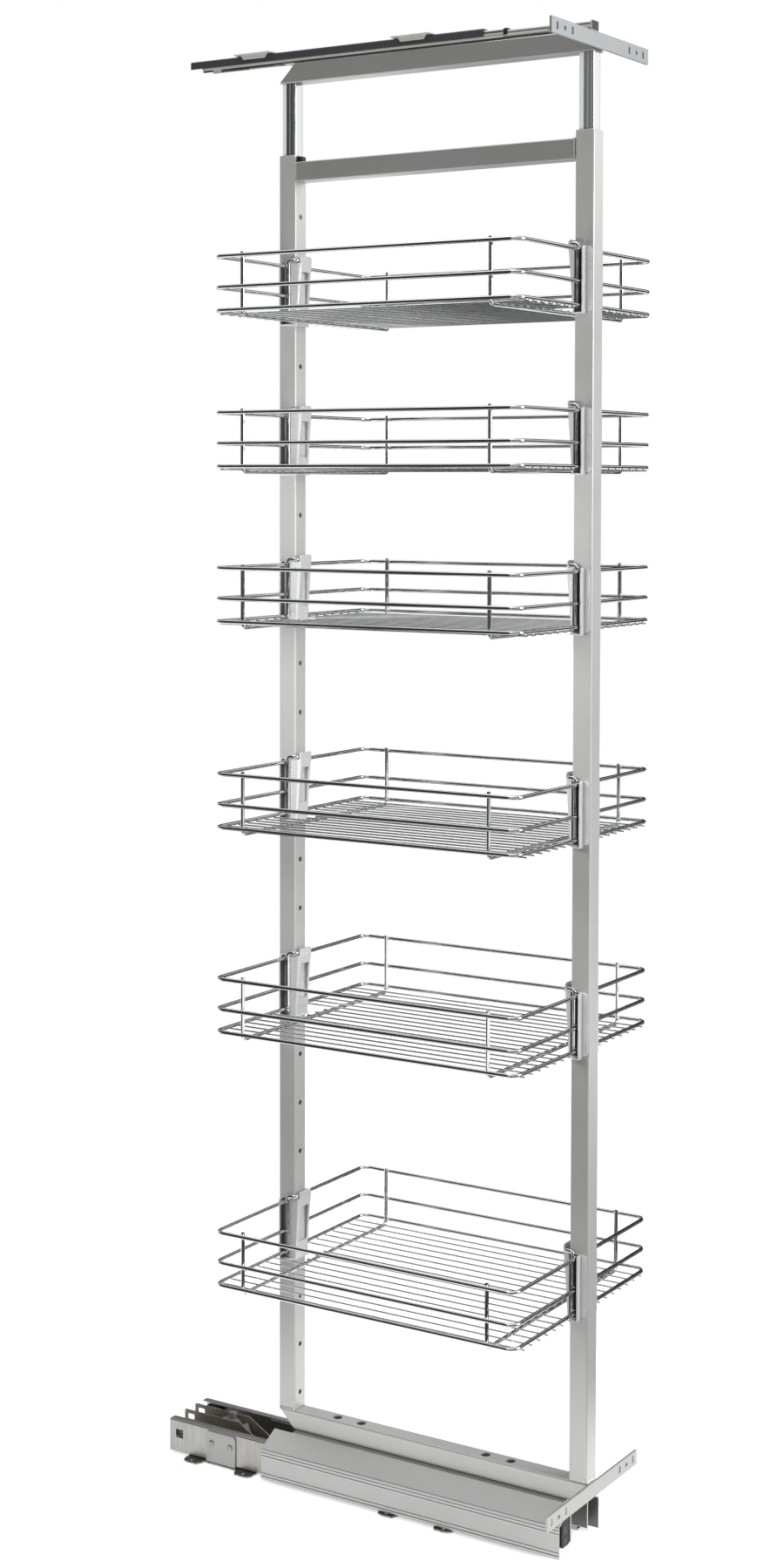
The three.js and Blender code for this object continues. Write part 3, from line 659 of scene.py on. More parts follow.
def bright_zinc(name, tint=(1.0, 1.0, 0.975), level=0.42, drips=0.14, metal=0.85):
    """Zinc-plated strip: streaks along its length, cloudy sheen, a few stains, upright drips."""
    f = Finish(name, Metallic=metal)
    streaks = f.noise(1.0, 4, 0.6, f.scaled(900, 6, 900))
    clouds, stains = f.noise(28, 5, 0.6, warp=0.4), f.noise(75, 4, 0.7)
    runs = f.noise(1.0, 4, 0.6, f.scaled(260, 260, 22), warp=0.5)
    tone = 0.82 + 0.12 * streaks + 0.18 * clouds + drips * f.band(runs, 0.45, 0.62)
    base = f.shade(grey(level, tint), tone - 0.12 * f.band(stains, 0.62, 0.75))
    yellowed = 0.3 * f.band(f.noise(17, 3), 0.45, 0.7)
    return f.done(f.blend(yellowed, base, grey(level, (1.0, 0.93, 0.74))),
                  0.26 + 0.12 * clouds + 0.08 * streaks, streaks, 0.25, 0.00008)


def bar_metal(name, level, tint):
    """Brushed strip of a door bar: short fine grain and faint clouds."""
    return coat(name, [(1.0, 3, 0.6, (260, 260, 70)), (22, 3), (900, 2)], (0.9, 0.1, 0.06, 0.04),
                (0.32, 0, 0.06), (0, 0.12, 0.00005), level, tint, Metallic=0.6)


def cover_metal():
    """Drawn aluminium with fine lines along its length, and a painted highlight along the crests of its
    ribs.
    """
    f = Finish("cover_aluminium", Metallic=0.75)
    lines = f.noise(1.0, 5, 0.65, f.scaled(1600, 3, 1600))
    clouds = f.noise(14, 4)
    # painted highlight along the crests of the outer ribs
    rib_highlight = f.band(abs(f.node("ShaderNodeSeparateXYZ", {0: f.place})), 0.0528, 0.0532)
    tone = 0.90 + 0.12 * lines + 0.07 * clouds + 0.4 * rib_highlight
    return f.done(f.shade(grey(0.51, (1.0, 0.998, 0.99)), tone),
                  0.30 + 0.10 * lines + 0.05 * clouds - 0.08 * rib_highlight, lines, 0.35, 0.00006)


def dark_steel(name="dark_steel", level=0.12, rust=1.0):
    """Blackened steel: warm, slightly blotchy, with specks of rust."""
    f = Finish(name, Metallic=0.55)
    blotch, specks, fine = f.noise(45, 5, 0.65), f.noise(260, 4, 0.75), f.noise(900, 2)
    rusty = f.band(specks, 0.66, 0.74) * f.band(f.noise(22, 3), 0.5, 0.62) * rust
    base = f.shade(grey(level, (1.12, 1.0, 0.84)), 0.7 + 0.5 * blotch + 0.15 * fine)
    return f.done(f.blend(rusty, base, (0.16, 0.06, 0.02, 1.0)), 0.36 + 0.2 * blotch,
                  fine, 0.3, 0.00008)


def wear_and_highlight_edge():
    """Bare metal along the edges of the dark sheet, lightened as a painted highlight."""
    f = Finish("rubbed_edge", Metallic=0.85)
    worn = f.noise(160, 4, 0.7)
    return f.done(f.blend(f.band(worn, 0.35, 0.65), grey(0.16), grey(0.55, (1.0, 0.98, 0.93))),
                  0.3 + 0.15 * worn)


def moulded(name, level, tint=(1.0, 1.0, 1.0), roughness=0.45):
    """Moulded plastic with a fine eroded texture."""
    return coat(name, [(1400, 3), (35, 3)], (0.85, 0.2, 0.1), (roughness - 0.05, 0.14),
                (0, 0.4, 0.00006), level, tint, Metallic=0.0, IOR=1.46)


SILVER = satin_silver("frame_silver")
# the frame silver made darker for the crossbar and top beam: painted shade
SHADED_BEAM_SILVER = satin_silver("beam_silver", 0.54, 0.66, 0.33)
LACQUER = coat("bracket_grey_lacquer", [(1100, 2), (30, 4)], (0.94, 0.06, 0.06), (0.20, 0, 0.12),
               (0, 0.2, 0.00005), 0.72, (0.995, 1.0, 0.995), Metallic=0.35, IOR=1.5)
CHROME = bright_chrome()
ROD_CHROME = bright_chrome("rod_chrome", 0.1)
MAST_CHROME = {"rear": slid_chrome("rear", 1, 0.97), "front": slid_chrome("front", -1, 0.84)}
WELD = coat("weld_metal", [(900, 3, 0.7), (180, 3)], (0.8, 0, 0.25), (0.22, 0.2), (0, 0.5, 0.00015),
            0.8, Metallic=0.7)
# painted shade for the brackets' grooves, in deep, mid and pale strengths
DEEP_GROOVE_SHADE = painted_groove_shade("groove_dark", 0.05)
MID_GROOVE_SHADE = painted_groove_shade("groove_grey", 0.13)
PALE_GROOVE_SHADE = painted_groove_shade("groove_pale", 0.36)
ZINC = bright_zinc("bright_zinc")
RAIL_ZINC = bright_zinc("rail_zinc", (1.0, 0.995, 0.96), 0.76, 0.0, 0.4)
BAR_ZINC = {"lower": bar_metal("door_bar_low_zinc", 0.5, (1.0, 0.995, 0.975)),
            "upper": bar_metal("door_bar_high_zinc", 0.42, (0.955, 1.0, 1.02))}
ALUMINIUM = cover_metal()
# dull zinc linings inside the covers: painted shade
COVER_INSIDE_SHADE = bright_zinc("cover_inside", (1.0, 1.0, 0.98), 0.2, 0.0, 0.5)
DARK = dark_steel()
CATCH = dark_steel("catch_steel", 0.19, 0.4)
# edges of the dark sheets: bare metal and a painted highlight
EDGE_WEAR_AND_HIGHLIGHT = wear_and_highlight_edge()
# cold-rolled sheet of the side plates
PLATE = coat("plate_grey", [(40, 5, 0.6), (1.0, 3, 0.6, (500, 40, 500))], (0.88, 0.14, 0.1),
             (0.34, 0.12), (1, 0.2, 0.00006), 0.44, (1.0, 0.995, 0.98), Metallic=0.6)
BLACK = moulded("black_plastic", 0.014)
GREY = moulded("grey_plastic", 0.16, (1.06, 1.0, 0.9), 0.5)
STOP = moulded("stop_plastic", 0.035, (0.85, 1.0, 1.05), 0.4)
# black stove enamel of the cover channel
HOOD = coat("black_paint", [(12, 4), (1300, 2)], (0.9, 0.2), (0.34, 0.1, 0.05), (1, 0.25, 0.00005),
            0.05, (0.94, 1.0, 1.05), Metallic=0.0, IOR=1.5)
# inside of the rails: ball cage and old grease, brownish grey; the same paint gives the painted shade of
# the dark strips along the rails
GREASE_AND_SHADE = coat("greased_steel", [(1.0, 4, 0.6, (500, 12, 500)), (120, 4, 0.7)], (0.65, 0.4, 0.4),
               (0.35, 0, 0.2), (1, 0.3, 0.00008), 0.13, (1.08, 1.0, 0.86), Metallic=0.4)


# --- welded frame ---
def square(width, r, middle_y, step=18):
    """Square outline, its middle at x = 0 and at the given height or place along y."""
    h = width / 2
    return panel(-h, h, middle_y - h, middle_y + h, r, step)


def tube_section(middle_y):
    """Outer and inner outline of the frame's tube."""
    return square(TUBE, TUBE_R, middle_y), square(TUBE_IN, TUBE_IN_R, middle_y)


def moved(points, dx, dy):
    return [(p[0] + dx, p[1] + dy) for p in points]


def weld_run(corners, seed, radius, pitch, stretch):
    return BEAD.run("weld_run", curve_of("weld_path", [corners]), SILVER, pitch=pitch,
                    radius=radius, stretch=stretch, vary=0.22, seed=seed)


def upright(end, side):
    """Tube with a row of holes in its inner wall, and the weld at its foot."""
    tube = Part()
    outer, inner = tube_section(side * UPRIGHT_Y)
    tube.prism(outer, "z", UPRIGHT_FOOT, UPRIGHT_TOP, [inner], 0.25)
    wall_y = side * (UPRIGHT_Y - HALF + TUBE_WALL / 2)
    mesh = HOLES.run("upright_holes", tube.mesh(), SILVER, holes=HOLE_COUNT,
                     first=(0.0, wall_y, HOLE_TOP_Z), offset=(0.0, 0.0, -HOLE_PITCH),
                     hole_radius=HOLE_R, depth=TUBE_WALL * 2, turn=(math.pi / 2, 0.0, 0.0), sides=18)
    part = Part().add(mesh)
    low, out_y = BEAM_TOP + 0.8, side * (UPRIGHT_Y + HALF - 0.6)
    reach = HALF - 2.5
    near, far = side * UPRIGHT_Y - reach, side * UPRIGHT_Y + reach
    seams = [[(-reach, out_y, low), (reach, out_y, low)]]
    if side > 0:
        seams = [[(x, near, low), (x, far, low)] for x in (0.2 - HALF, HALF - 0.2)]
    for k, seam in enumerate(seams):
        part.add(weld_run(seam, 11 + k, 1.9, 2.1, 0.85), paint=1)
    finish(part.mesh(), f"upright_tube_{end}", "frame", [SILVER, WELD],
           [f"upright_{end}"])


def mitred(part, z, long_top):
    """Beam along y with ends cut at 45 degrees; its longer edge ends at FRAME_END."""
    outer, inner = tube_section(z + HALF)
    slope = 1.0 if long_top else -1.0
    start = FRAME_END - slope * (z + TUBE if long_top else z)
    part.prism(outer, "y", -start, start, [inner], 0.25, mitre=(-slope, slope))


def bottom_beam():
    part = Part()
    mitred(part, BEAM_Z, True)
    mesh = part.mesh()
    for first, pitch in ((143.0, -36.5), (-79.0, -36.0)):
        mesh = HOLES.run("beam_holes", mesh, SILVER, holes=2, first=(0.0, first, BEAM_TOP - TUBE_WALL / 2),
                         offset=(0.0, pitch, 0.0), hole_radius=BEAM_HOLE_R, depth=TUBE_WALL * 2,
                         turn=(0.0, 0.0, 0.0), sides=28)
    finish(mesh, "bottom_beam_tube", "frame", [SILVER], ["bottom_beam"])


def crossbar():
    end = UPRIGHT_Y - HALF - GAP
    part = Part()
    outer, inner = tube_section(CROSS_Z + HALF)
    part.prism(outer, "y", -end, end, [inner], 0.2)
    for k, (sx, sy) in enumerate(((-1, -1), (1, -1), (-1, 1), (1, 1))):
        x, y = sx * (HALF - 0.1), sy * (end - 0.6)
        seam = [(x, y, CROSS_Z + 1.5), (x, y - sy * 0.7, CROSS_Z + HALF), (x, y, CROSS_Z + TUBE - 1.5)]
        part.add(weld_run(seam, 21 + k, 2.0, 1.6, 0.6))
    finish(part.mesh(), "crossbar_tube", "frame", [SHADED_BEAM_SILVER], ["crossbar"])
    # height clamp: a block with a sloping top, and a strip along its foot
    foot, y = CROSS_Z + TUBE + GAP, end - 0.05
    clamp = Part()
    block = [(y, foot), (y, foot + 7.2), (y - 2, foot + 7.2), (y - 7.7, foot + 6.2), (y - 7.7, foot)]
    clamp.prism(rounded(block, 0.9, 30), "x", -9.9, 0.2, edge=0.6)
    clamp.prism(panel(-9.4, 9.4, y - 3.2, y, 0.6, 18), "z", foot, foot + 3.0, edge=0.4)
    finish(clamp.mesh(), "height_clamp_block", "frame", [BLACK], ["height_clamp"])


def masts():
    for end, side in ENDS:
        part = Part()
        y = side * UPRIGHT_Y
        part.prism(square(MAST, 3.4, y, 9), "z", MAST_FOOT, MAST_TOP,
                   [square(MAST - 2 * MAST_WALL, 1.2, y)])
        finish(part.mesh(), f"mast_tube_{end}", "top_carriage",
               [MAST_CHROME[end]], [f"mast_{end}"])
    part = Part()
    mitred(part, TOP_BEAM_Z, False)
    finish(part.mesh(), "top_beam_tube", "top_carriage", [SHADED_BEAM_SILVER],
           ["top_beam"])


def door_bar(level, half, z, edge, pitch, lug, body):
    """Flat strip with slots and a hole at each end, and the lug behind its middle."""
    part = Part()
    back = -(FRAME_END + GAP)
    holes = []
    for s in (1, -1):
        for inward in (edge, edge + pitch):
            holes.append(slot_outline(s * (half - inward), z + 9.5, 3.6, 10.0))
        holes.append(circle(s * (half - edge - pitch / 2), z + 9.5, 3.0, 20))
    part.prism(panel(-half, half, z, z + 19, 0.8), "y", back - 2.8, back, holes, 0.35)
    part.prism(panel(-9.8, 9.8, *lug, 0.8), "y", back - 1.4, back + 27.8)
    finish(part.mesh(), f"door_bar_strip_{level}", body, [BAR_ZINC[level]],
           [f"door_bar_{level}"])


# --- hook brackets ---
CHEEK_X, WALL_X, WING_X, SHEET, LEDGE = 14.4, 12.8, 24.0, 1.6, 1.8
SHOULDER = 4.4
HOOK_FOOT = -76.5
NOSE_TOP, NOSE_FOOT, LIP_TOP = 21.5, 14.8, 13.0
WING_BACK = 2.6


def nose_ring(z, u):
    """Plan of the folded nose at one height: a U of sheet with soft corners."""
    out_x, face_x, top = CHEEK_X, CHEEK_X - 2.4, NOSE_TOP
    back = 13.2
    outer = [(-out_x, back), (-out_x, top - 2.6), (-face_x, top), (face_x, top), (out_x, top - 2.6),
             (out_x, back)]
    inner = [(x * (out_x - SHEET) / out_x, y - (SHEET if y > back else 0)) for x, y in outer]
    loop = rounded(outer + inner[::-1], [0.2, 2.2, 2.2, 2.2, 2.2, 0.2, 0.2, 1.2, 1.2, 1.2, 1.2, 0.2], 20)
    squeeze = (u - back) / (top - back)
    return [(p.x, -(back + (p.y - back) * (squeeze if p.y > back else 1)), z) for p in loop]


def hook_mesh():
    """Bracket at the rear upright's axis, nose towards -y, z = 0 at the basket's top rim."""
    foot = HOOK_FOOT + LEDGE
    nose, window = Part(), Part()
    nose.shell([[nose_ring(z, u)] for z, u in ((foot, NOSE_FOOT), (SHOULDER - 1, NOSE_TOP - 0.25))])
    window.prism(panel(-8.6, 8.6, -53, -7, 1.4), "y", -30, -14.9, edge=0)
    part = Part().add(carved(nose.mesh(), window.mesh()))
    # back wall on the upright, cheeks hugging it, shoulder and lip
    part.prism(rectangle(-CHEEK_X + 0.1, CHEEK_X - 0.1, foot, SHOULDER), "y", -14.4, -12.8, edge=0.2)
    wing_y = WING_BACK + SHEET
    cheek = rounded([(-13.4, HOOK_FOOT + 1), (11.5, HOOK_FOOT + 4), (11.5, SHOULDER - 0.2),
                     (-13.4, SHOULDER)], [0, 4, 5, 0])
    wing = [(12.9, HOOK_FOOT + 0.9), (WING_X, HOOK_FOOT + 0.9), (WING_X, SHOULDER - 3),
            (21, SHOULDER), (12.9, SHOULDER)]
    for s in (1, -1):
        part.prism(cheek, "x", WALL_X, CHEEK_X, edge=0.25, side=s)
        part.prism(rounded(on_side(s, wing), [0, 1.5, 1.5, 1.5, 0]), "y", WING_BACK, wing_y)
    ledge = [(-WING_X, wing_y), (-WALL_X, wing_y), (-WALL_X, -WALL_X), (WALL_X, -WALL_X),
             (WALL_X, wing_y), (WING_X, wing_y), (WING_X, -4), (CHEEK_X, -16.2), (-CHEEK_X, -16.2),
             (-WING_X, -4)]
    part.prism(rounded(ledge, [1.2, 0.3, 0.3, 0.3, 0.3, 1.2, 1.5, 1.5, 1.5, 1.5]), "z", HOOK_FOOT, foot)
    part.prism(rectangle(-CHEEK_X + 0.3, CHEEK_X - 0.3, -19.6, -13.4), "z", SHOULDER - SHEET, SHOULDER,
               edge=0.2)
    lean = (NOSE_TOP - NOSE_FOOT) / (SHOULDER - HOOK_FOOT)
    lip = panel(-12.9, 12.9, SHOULDER - 6, LIP_TOP, [0.4, 0.4, 3.4, 3.4], 18)
    face_y = -NOSE_TOP + 0.35 + lean * SHOULDER
    part.prism(lip, "y", face_y, face_y + 1.9, edge=0.5, mitre=(-lean * 0.5, -lean * 0.5))
    # linings of painted shade in the groove: far and near part of the cheek, then the wing
    wing = [(14.7, HOOK_FOOT + 2), (23.9, HOOK_FOOT + 2), (23.9, SHOULDER - 3.2), (21.1, SHOULDER - 0.3),
            (14.7, SHOULDER - 0.3)]
    for s in (1, -1):
        for paint, y0, y1 in ((3, -12.0, -4.0), (2, -4.0, WING_BACK)):
            part.prism(rectangle(y0, y1, HOOK_FOOT + 2.5, SHOULDER - 1.5), "x", CHEEK_X - 0.1,
                       CHEEK_X + 0.25, edge=0.1, paint=paint, side=s)
        part.prism(rounded(on_side(s, wing), 0.8), "y", WING_BACK - 0.3, WING_BACK + 0.1, edge=0.1,
                   paint=1)
    for z in (0.0, -HOLE_PITCH):
        part.prism(circle(0, z, 2.9, 18), "y", -13.6, -10.7)
    return part.mesh()


def brackets():
    """A pair for each basket; their grooves hold painted shade, paler in the rear ones, as in the photo."""
    shape = hook_mesh()
    half_turn = Matrix.Rotation(math.pi, 4, "Z")
    for n, hole in enumerate(BASKET_HOLES, 1):
        z = HOLE_TOP_Z - HOLE_PITCH * hole
        for end, side, turn, paints in (
                ("rear", 1, Matrix.Identity(4), [LACQUER, MID_GROOVE_SHADE, PALE_GROOVE_SHADE, LACQUER]),
                ("front", -1, half_turn, [LACQUER, DEEP_GROOVE_SHADE, DEEP_GROOVE_SHADE, DEEP_GROOVE_SHADE])):
            finish(shape, f"hook_bracket_{n}_{end}", "frame", paints,
                   [f"bracket_{n}_{end}"], place=Matrix.Translation((0, side * UPRIGHT_Y, z)) @ turn)


# --- baskets ---
def basket_mesh():
    """One basket of wire, its top rim at z = 0."""
    paths = []
    for drop in RIM_DROPS:
        for s in (1, -1):
            corners = [(s * LEG_X, RIM_Y), (s * RIM_X, RIM_Y), (s * RIM_X, -RIM_Y), (s * LEG_X, -RIM_Y)]
            paths.append(path_points([(x, y, -drop) for x, y in corners], RIM_BEND))
    loops, struts = [], []
    for s in (1, -1):
        loop = [(-LEG_X, LEG_Y, LEG_FOOT), (-LEG_X, LEG_Y, LOOP_Z), (-LEG_X, LOOP_Y, LOOP_Z),
                (LEG_X, LOOP_Y, LOOP_Z), (LEG_X, LEG_Y, LOOP_Z), (LEG_X, LEG_Y, LEG_FOOT)]
        strut = [(-STRUT_X, STRUT_Y, STRUT_TOP), (-STRUT_X, STRUT_Y, STRUT_FOOT),
                 (STRUT_X, STRUT_Y, STRUT_FOOT), (STRUT_X, STRUT_Y, STRUT_TOP)]
        loops.append(path_points([(x, s * y, z) for x, y, z in loop], 4.0, 5))
        struts.append(path_points([(x, s * y, z) for x, y, z in strut], 6.0, 6))
    part = Part()
    for name, lines in (("rims", paths), ("loops", loops + struts)):
        part.add(WIRE.run(f"basket_{name}", curve_of(name, lines), CHROME, radius=RIM_R, sides=14))
    floor = FLOOR_ROW.run("basket_floor", bpy.data.meshes.new("floor_row"), ROD_CHROME,
                          pitch=FLOOR_PITCH, wires=2 * FLOOR_SIDE + 1, short_wires=3,
                          long_reach=FLOOR_LONG, short_reach=FLOOR_SHORT, height=FLOOR_Z,
                          radius=FLOOR_R, sides=10)
    part.add(floor, paint=1)
    crossings = []
    for i in range(-FLOOR_SIDE, FLOOR_SIDE + 1):
        x = i * FLOOR_PITCH
        for s in (1, -1):
            crossings.append((x, s * STRUT_Y, FLOOR_Z - 0.9))
            if abs(i) > 1:
                crossings.append((x, s * RIM_Y, FLOOR_Z + 1.0))
    knots = []
    for sx in (1, -1):
        for sy in (1, -1):
            for drop in RIM_DROPS:
                knots.append((sx * (RIM_X - 2.1), sy * STRUT_Y, -drop))
                knots.append((sx * LEG_X, sy * (RIM_Y + LEG_Y) / 2, -drop))
    for name, points, radius, stretch, vary, seed in (("floor_welds", crossings, 1.75, 0.8, 0.15, 3),
                                                      ("rim_welds", knots, 2.3, 1.25, 0.1, 5)):
        part.add(DROPS.run(name, plain_mesh(name, points), CHROME, radius=radius, stretch=stretch,
                           vary=vary, seed=seed))
    return part.mesh()


def baskets():
    shape = basket_mesh()
    for n, hole in enumerate(BASKET_HOLES, 1):
        finish(shape, f"wire_basket_{n}", f"basket_{n}_body", [CHROME, ROD_CHROME],
               [f"basket_{n}"], sharp=50,
               place=Matrix.Translation((0, 0, HOLE_TOP_Z - HOLE_PITCH * hole)))


# --- base runner ---
def channel(x_back, x_lip, z0, z1):
    """C section of a runner: back and two flanges."""
    t, r = 1.4, 2.2
    face = x_back + math.copysign(t, x_lip - x_back)
    return rounded([(x_back, z0), (x_back, z1), (x_lip, z1), (x_lip, z1 - t), (face, z1 - t),
                    (face, z0 + t), (x_lip, z0 + t), (x_lip, z0)],
                   [r, r, 0.4, 0.4, r - t, r - t, 0.4, 0.4], 22)


def runners():
    for side, tag in SIDES:
        for member, back, lip, z0, z1, y0, y1, body in (
                ("outer", 42.2, 31.0, 2.8, 46.8, -75, 385, "cabinet_base"),
                ("middle", 40.45, 29.0, 4.55, 45.05, -130, 270, "base_middle"),
                ("inner", 23.6, 38.7, 6.3, 43.3, -195, 225, "frame")):
            part = Part()
            part.prism(on_side(side, channel(back, lip, z0, z1)), "y", y0, y1, edge=0.25)
            if member == "outer":
                window = Part()
                window.prism(panel(363, 375, 23, 34, 0.8), "x", 38.0, 44.0, edge=0, side=side)
                part = Part().add(carved(part.mesh(), window.mesh()))
                # black block behind the window, tabs in it, dark lines on the top flange
                part.prism(panel(357, 381, 17, 40, 1.0), "x", 35.0, 40.6, edge=0.4, paint=1, side=side)
                for tab in ((363.2, 368.5, 25.2, 27.4), (363.2, 368.5, 30.2, 32.4),
                            (370.5, 374.8, 23.2, 26)):
                    part.prism(panel(*tab, 0.4), "x", 40.0, 41.8, edge=0.2, paint=2, side=side)
                for x0, x1 in ((39.4, 40.2), (35.2, 35.8), (32.2, 33.2)):
                    line = on_side(side, rectangle(x0, x1, -74.5, 384.5))
                    part.prism(line, "z", 46.7, 46.87, edge=0, paint=2)
            finish(part.mesh(), f"runner_{member}_{tag}", body,
                   [ZINC, BLACK, GREASE_AND_SHADE], [f"base_{member}_{tag}"])


def cover_outline():
    """Section of a cover: top flange, inner wall, sloping face, outer wall with four ribs."""
    top, bend, foot, wall_foot = 59.7, 42.7, 3.2, 14.0
    cx, t, wx, wt = 52.5, 1.4, 21.0, 2.3
    fall = (top - bend) / (cx - wx)
    skin = t * math.hypot(1, fall)
    points = [(wx, wall_foot), (wx, top - wt), (0.15, top - wt), (0.15, top), (wx, top), (cx, bend)]
    radii = [0.4, 0.5, 0.3, 0.3, 0.8, 1.4]
    for z in (37.4, 33.2, 10.4, 6.2):
        points += [(cx, z + 1.4), (cx + 0.85, z + 0.55), (cx + 0.85, z - 0.55), (cx, z - 1.4)]
        radii += [0.25, 0.5, 0.5, 0.25]
    points += [(cx, foot), (cx - t, foot)]
    points += [(x, top - fall * (x - wx) - skin) for x in (cx - t, wx + wt)] + [(wx + wt, wall_foot)]
    radii += [0.4, 0.4, 0.3, 0.3, 0.4]
    return points, radii


def covers():
    points, radii = cover_outline()
    outer = [i for i, p in enumerate(points) if abs(p[0]) > 20]
    for side, tag in SIDES:
        row = on_side(side, points)
        # the full section, and past the ends of the top flange the section without it
        short = rounded([row[i] for i in outer], [radii[i] for i in outer], 30)
        part = Part()
        part.prism(rounded(row, radii, 30), "y", -200, 200, edge=0)
        part.prism(short, "y", -211, -200, edge=0)
        part.prism(short, "y", 200, 228, edge=0)
        # dark linings inside the walls: painted shade of the cover's hollow
        for lined in (rectangle(20.82, 21.02, 15.0, 56.5), rectangle(50.9, 51.12, 4.2, 41.2)):
            part.prism(on_side(side, lined), "y", -210.6, 227.6, edge=0, paint=1)
        finish(part.mesh(), f"cover_profile_{tag}", "frame",
               [ALUMINIUM, COVER_INSIDE_SHADE], [f"cover_{tag}"])


def foot_outline(y):
    """Plan of a foot plate with four chamfered ears, and the screw holes in them."""
    n, h, fx, neck = 25.0, 55.0, 57.0, 45.2
    slant = (fx - neck) / 2
    quarter = [(neck, n), (fx, n + slant), (fx, h - slant * 1.5), (fx - slant / 3, h - slant / 2),
               (fx - slant * 1.3, h)]
    loop = []
    for sx, sy in ((1, 1), (-1, 1), (-1, -1), (1, -1)):
        loop += [(sx * a, sy * b) for a, b in quarter][::sx * sy]
    holes = [circle(sx * (fx - slant), sy * (h - slant * 2.2), 2.2, 18) for sx in (1, -1) for sy in (1, -1)]
    return moved(rounded(loop, 1.2, 30), 0, y), [moved(hole, 0, y) for hole in holes]


def feet():
    for end, y in FEET:
        outline, holes = foot_outline(y)
        part = Part()
        part.prism(outline, "z", 0, 2, holes, 0.35, edge_paint=1)
        for s in (1, -1):
            part.prism(on_side(s, rectangle(32, 41.2, y - 25, y + 25)), "z", 1.0, 2.5, edge=0.2)
        finish(part.mesh(), f"foot_sheet_{end}", "cabinet_base", [DARK, EDGE_WEAR_AND_HIGHLIGHT],
               [f"foot_{end}"])
        for side, tag in SIDES:
            plate = Part()
            plate.prism(panel(y - 24, y + 24, 2.3, 43.5, [0.5, 0.5, 4.5, 4.5], 18), "x", 42.5, 44.0,
                        side=side)
            finish(plate.mesh(), f"side_plate_{end}_{tag}", "cabinet_base",
                   [PLATE], [f"slide_plate_{end}_{tag}"])


def screw_part(part, x, y, z, side):
    """Pan-head screw lying along x with a sunk disc for its recess."""
    sides = 20
    profile = [(0.05, 0), (4.0, 0), (4.0, 0.5), (3.7, 1.0), (2.9, 1.35), (1.7, 1.5), (1.6, 1.1),
               (1.2, 0.8), (0.05, 0.8)]
    turns = [2 * math.pi * k / sides for k in range(sides)]
    part.shell([[[(x + side * h, y + r * math.cos(t), z + r * math.sin(t)) for t in turns]]
                for r, h in profile])


def screws():
    part = Part()
    nodes = []
    for end, y in FEET:
        for side, tag in SIDES:
            for k, s in enumerate((1, -1), 1):
                screw_part(part, side * 44.3, y + s * 15, 28.0, side)
                nodes.append(f"plate_screw_{end}_{tag}_{k}")
    finish(part.mesh(), "plate_screws", "cabinet_base", [ZINC], nodes)


def soft_close():
    """U-shaped sheet with a sloping nose, and the damper block standing in it."""
    part = Part()
    side = rounded([(225, 2.3), (225, 12), (292, 50), (383, 50), (383, 2.3)], [0.5, 1.5, 5, 3, 0.5])
    slot = panel(367, 377.5, 37.5, 44.5, 1.5)
    for s in (1, -1):
        part.prism(side, "x", 10.7, 12.3, [slot], 0.45, edge_paint=1, side=s)
    part.prism(rectangle(-10.8, 10.8, 2.3, 3.9), "y", 225.2, 382.8, edge=0.2)
    finish(part.mesh(), "soft_close_channel", "cabinet_base", [CATCH, EDGE_WEAR_AND_HIGHLIGHT],
           ["soft_close_bracket"])
    block = Part()
    body = rounded([(300, 24), (338, 14), (338, 40), (326, 45), (308, 45), (300, 38)], 1.5, 30)
    block.prism(body, "x", -9.9, 9.9, edge=1.0)
    block.prism(panel(311, 321, 43, 53.5, [0.5, 0.5, 1.5, 1.5], 18), "x", 2.5, 10.3, edge=0.6)
    block.prism(rounded([(286, 30), (299, 26), (299, 40), (292, 43)], 1.0, 30), "x", -8.5, 8.5, edge=0.6)
    block.prism(circle(327, 30, 4.2, 20), "x", -10.3, 10.3, edge=0.5)
    finish(block.mesh(), "soft_close_block", "cabinet_base", [GREY],
           ["soft_close_damper"])


def buffer():
    """Black end block low at the near front, two grey panels standing in for its recesses."""
    part = Part()
    loop = rounded([(-23.6, 11.6), (-23.6, 51.5), (-39.6, 47.9), (-43.2, 42.5), (-43.2, 15.0),
                    (-39.6, 11.6)], 1.5)
    part.prism(loop, "y", -210.0, -195.3, edge=1.0)
    for foot, top in ((16.0, 24.5), (27.5, 39.0)):
        part.prism(panel(-40.6, -30.0, foot, top, 1.0, 18), "y", -210.5, -209.6, edge=0.4, paint=1)
    finish(part.mesh(), "end_buffer", "frame", [BLACK, STOP], ["front_buffer"])


# --- top runner ---
def u_section(x, top, foot, t, r=0.9):
    """Section of a rail, open below; t is its wall and r the radius inside."""
    return rounded([(-x, foot), (-x, top), (x, top), (x, foot), (x - t, foot), (x - t, top - t),
                    (-x + t, top - t), (-x + t, foot)], [0.3, r + t, r + t, 0.3, 0.3, r, r, 0.3], 30)


def painted_shade_strips(part, x, start, end, bands, paint):
    """Painted shade: dark strips along both sides of a rail, for the shadow gap above the beam and the dark
    bands along the rail.
    """
    for low, high in bands:
        for s in (1, -1):
            line = on_side(s, rectangle(x - 0.1, x + 0.14, low, high))
            part.prism(line, "y", start, end, edge=0, paint=paint)


def lining(part, x, top, foot, start, end):
    """Greased running surfaces inside a rail: under the web and down both flanges."""
    part.prism(rectangle(-x + 1.4, x - 1.4, top - 1.42, top - 1.1), "y", start, end, edge=0, paint=1)
    for s in (1, -1):
        flange = on_side(s, rectangle(x - 1.42, x - 1.1, foot + 0.9, top - 1.5))
        part.prism(flange, "y", start, end, edge=0, paint=1)


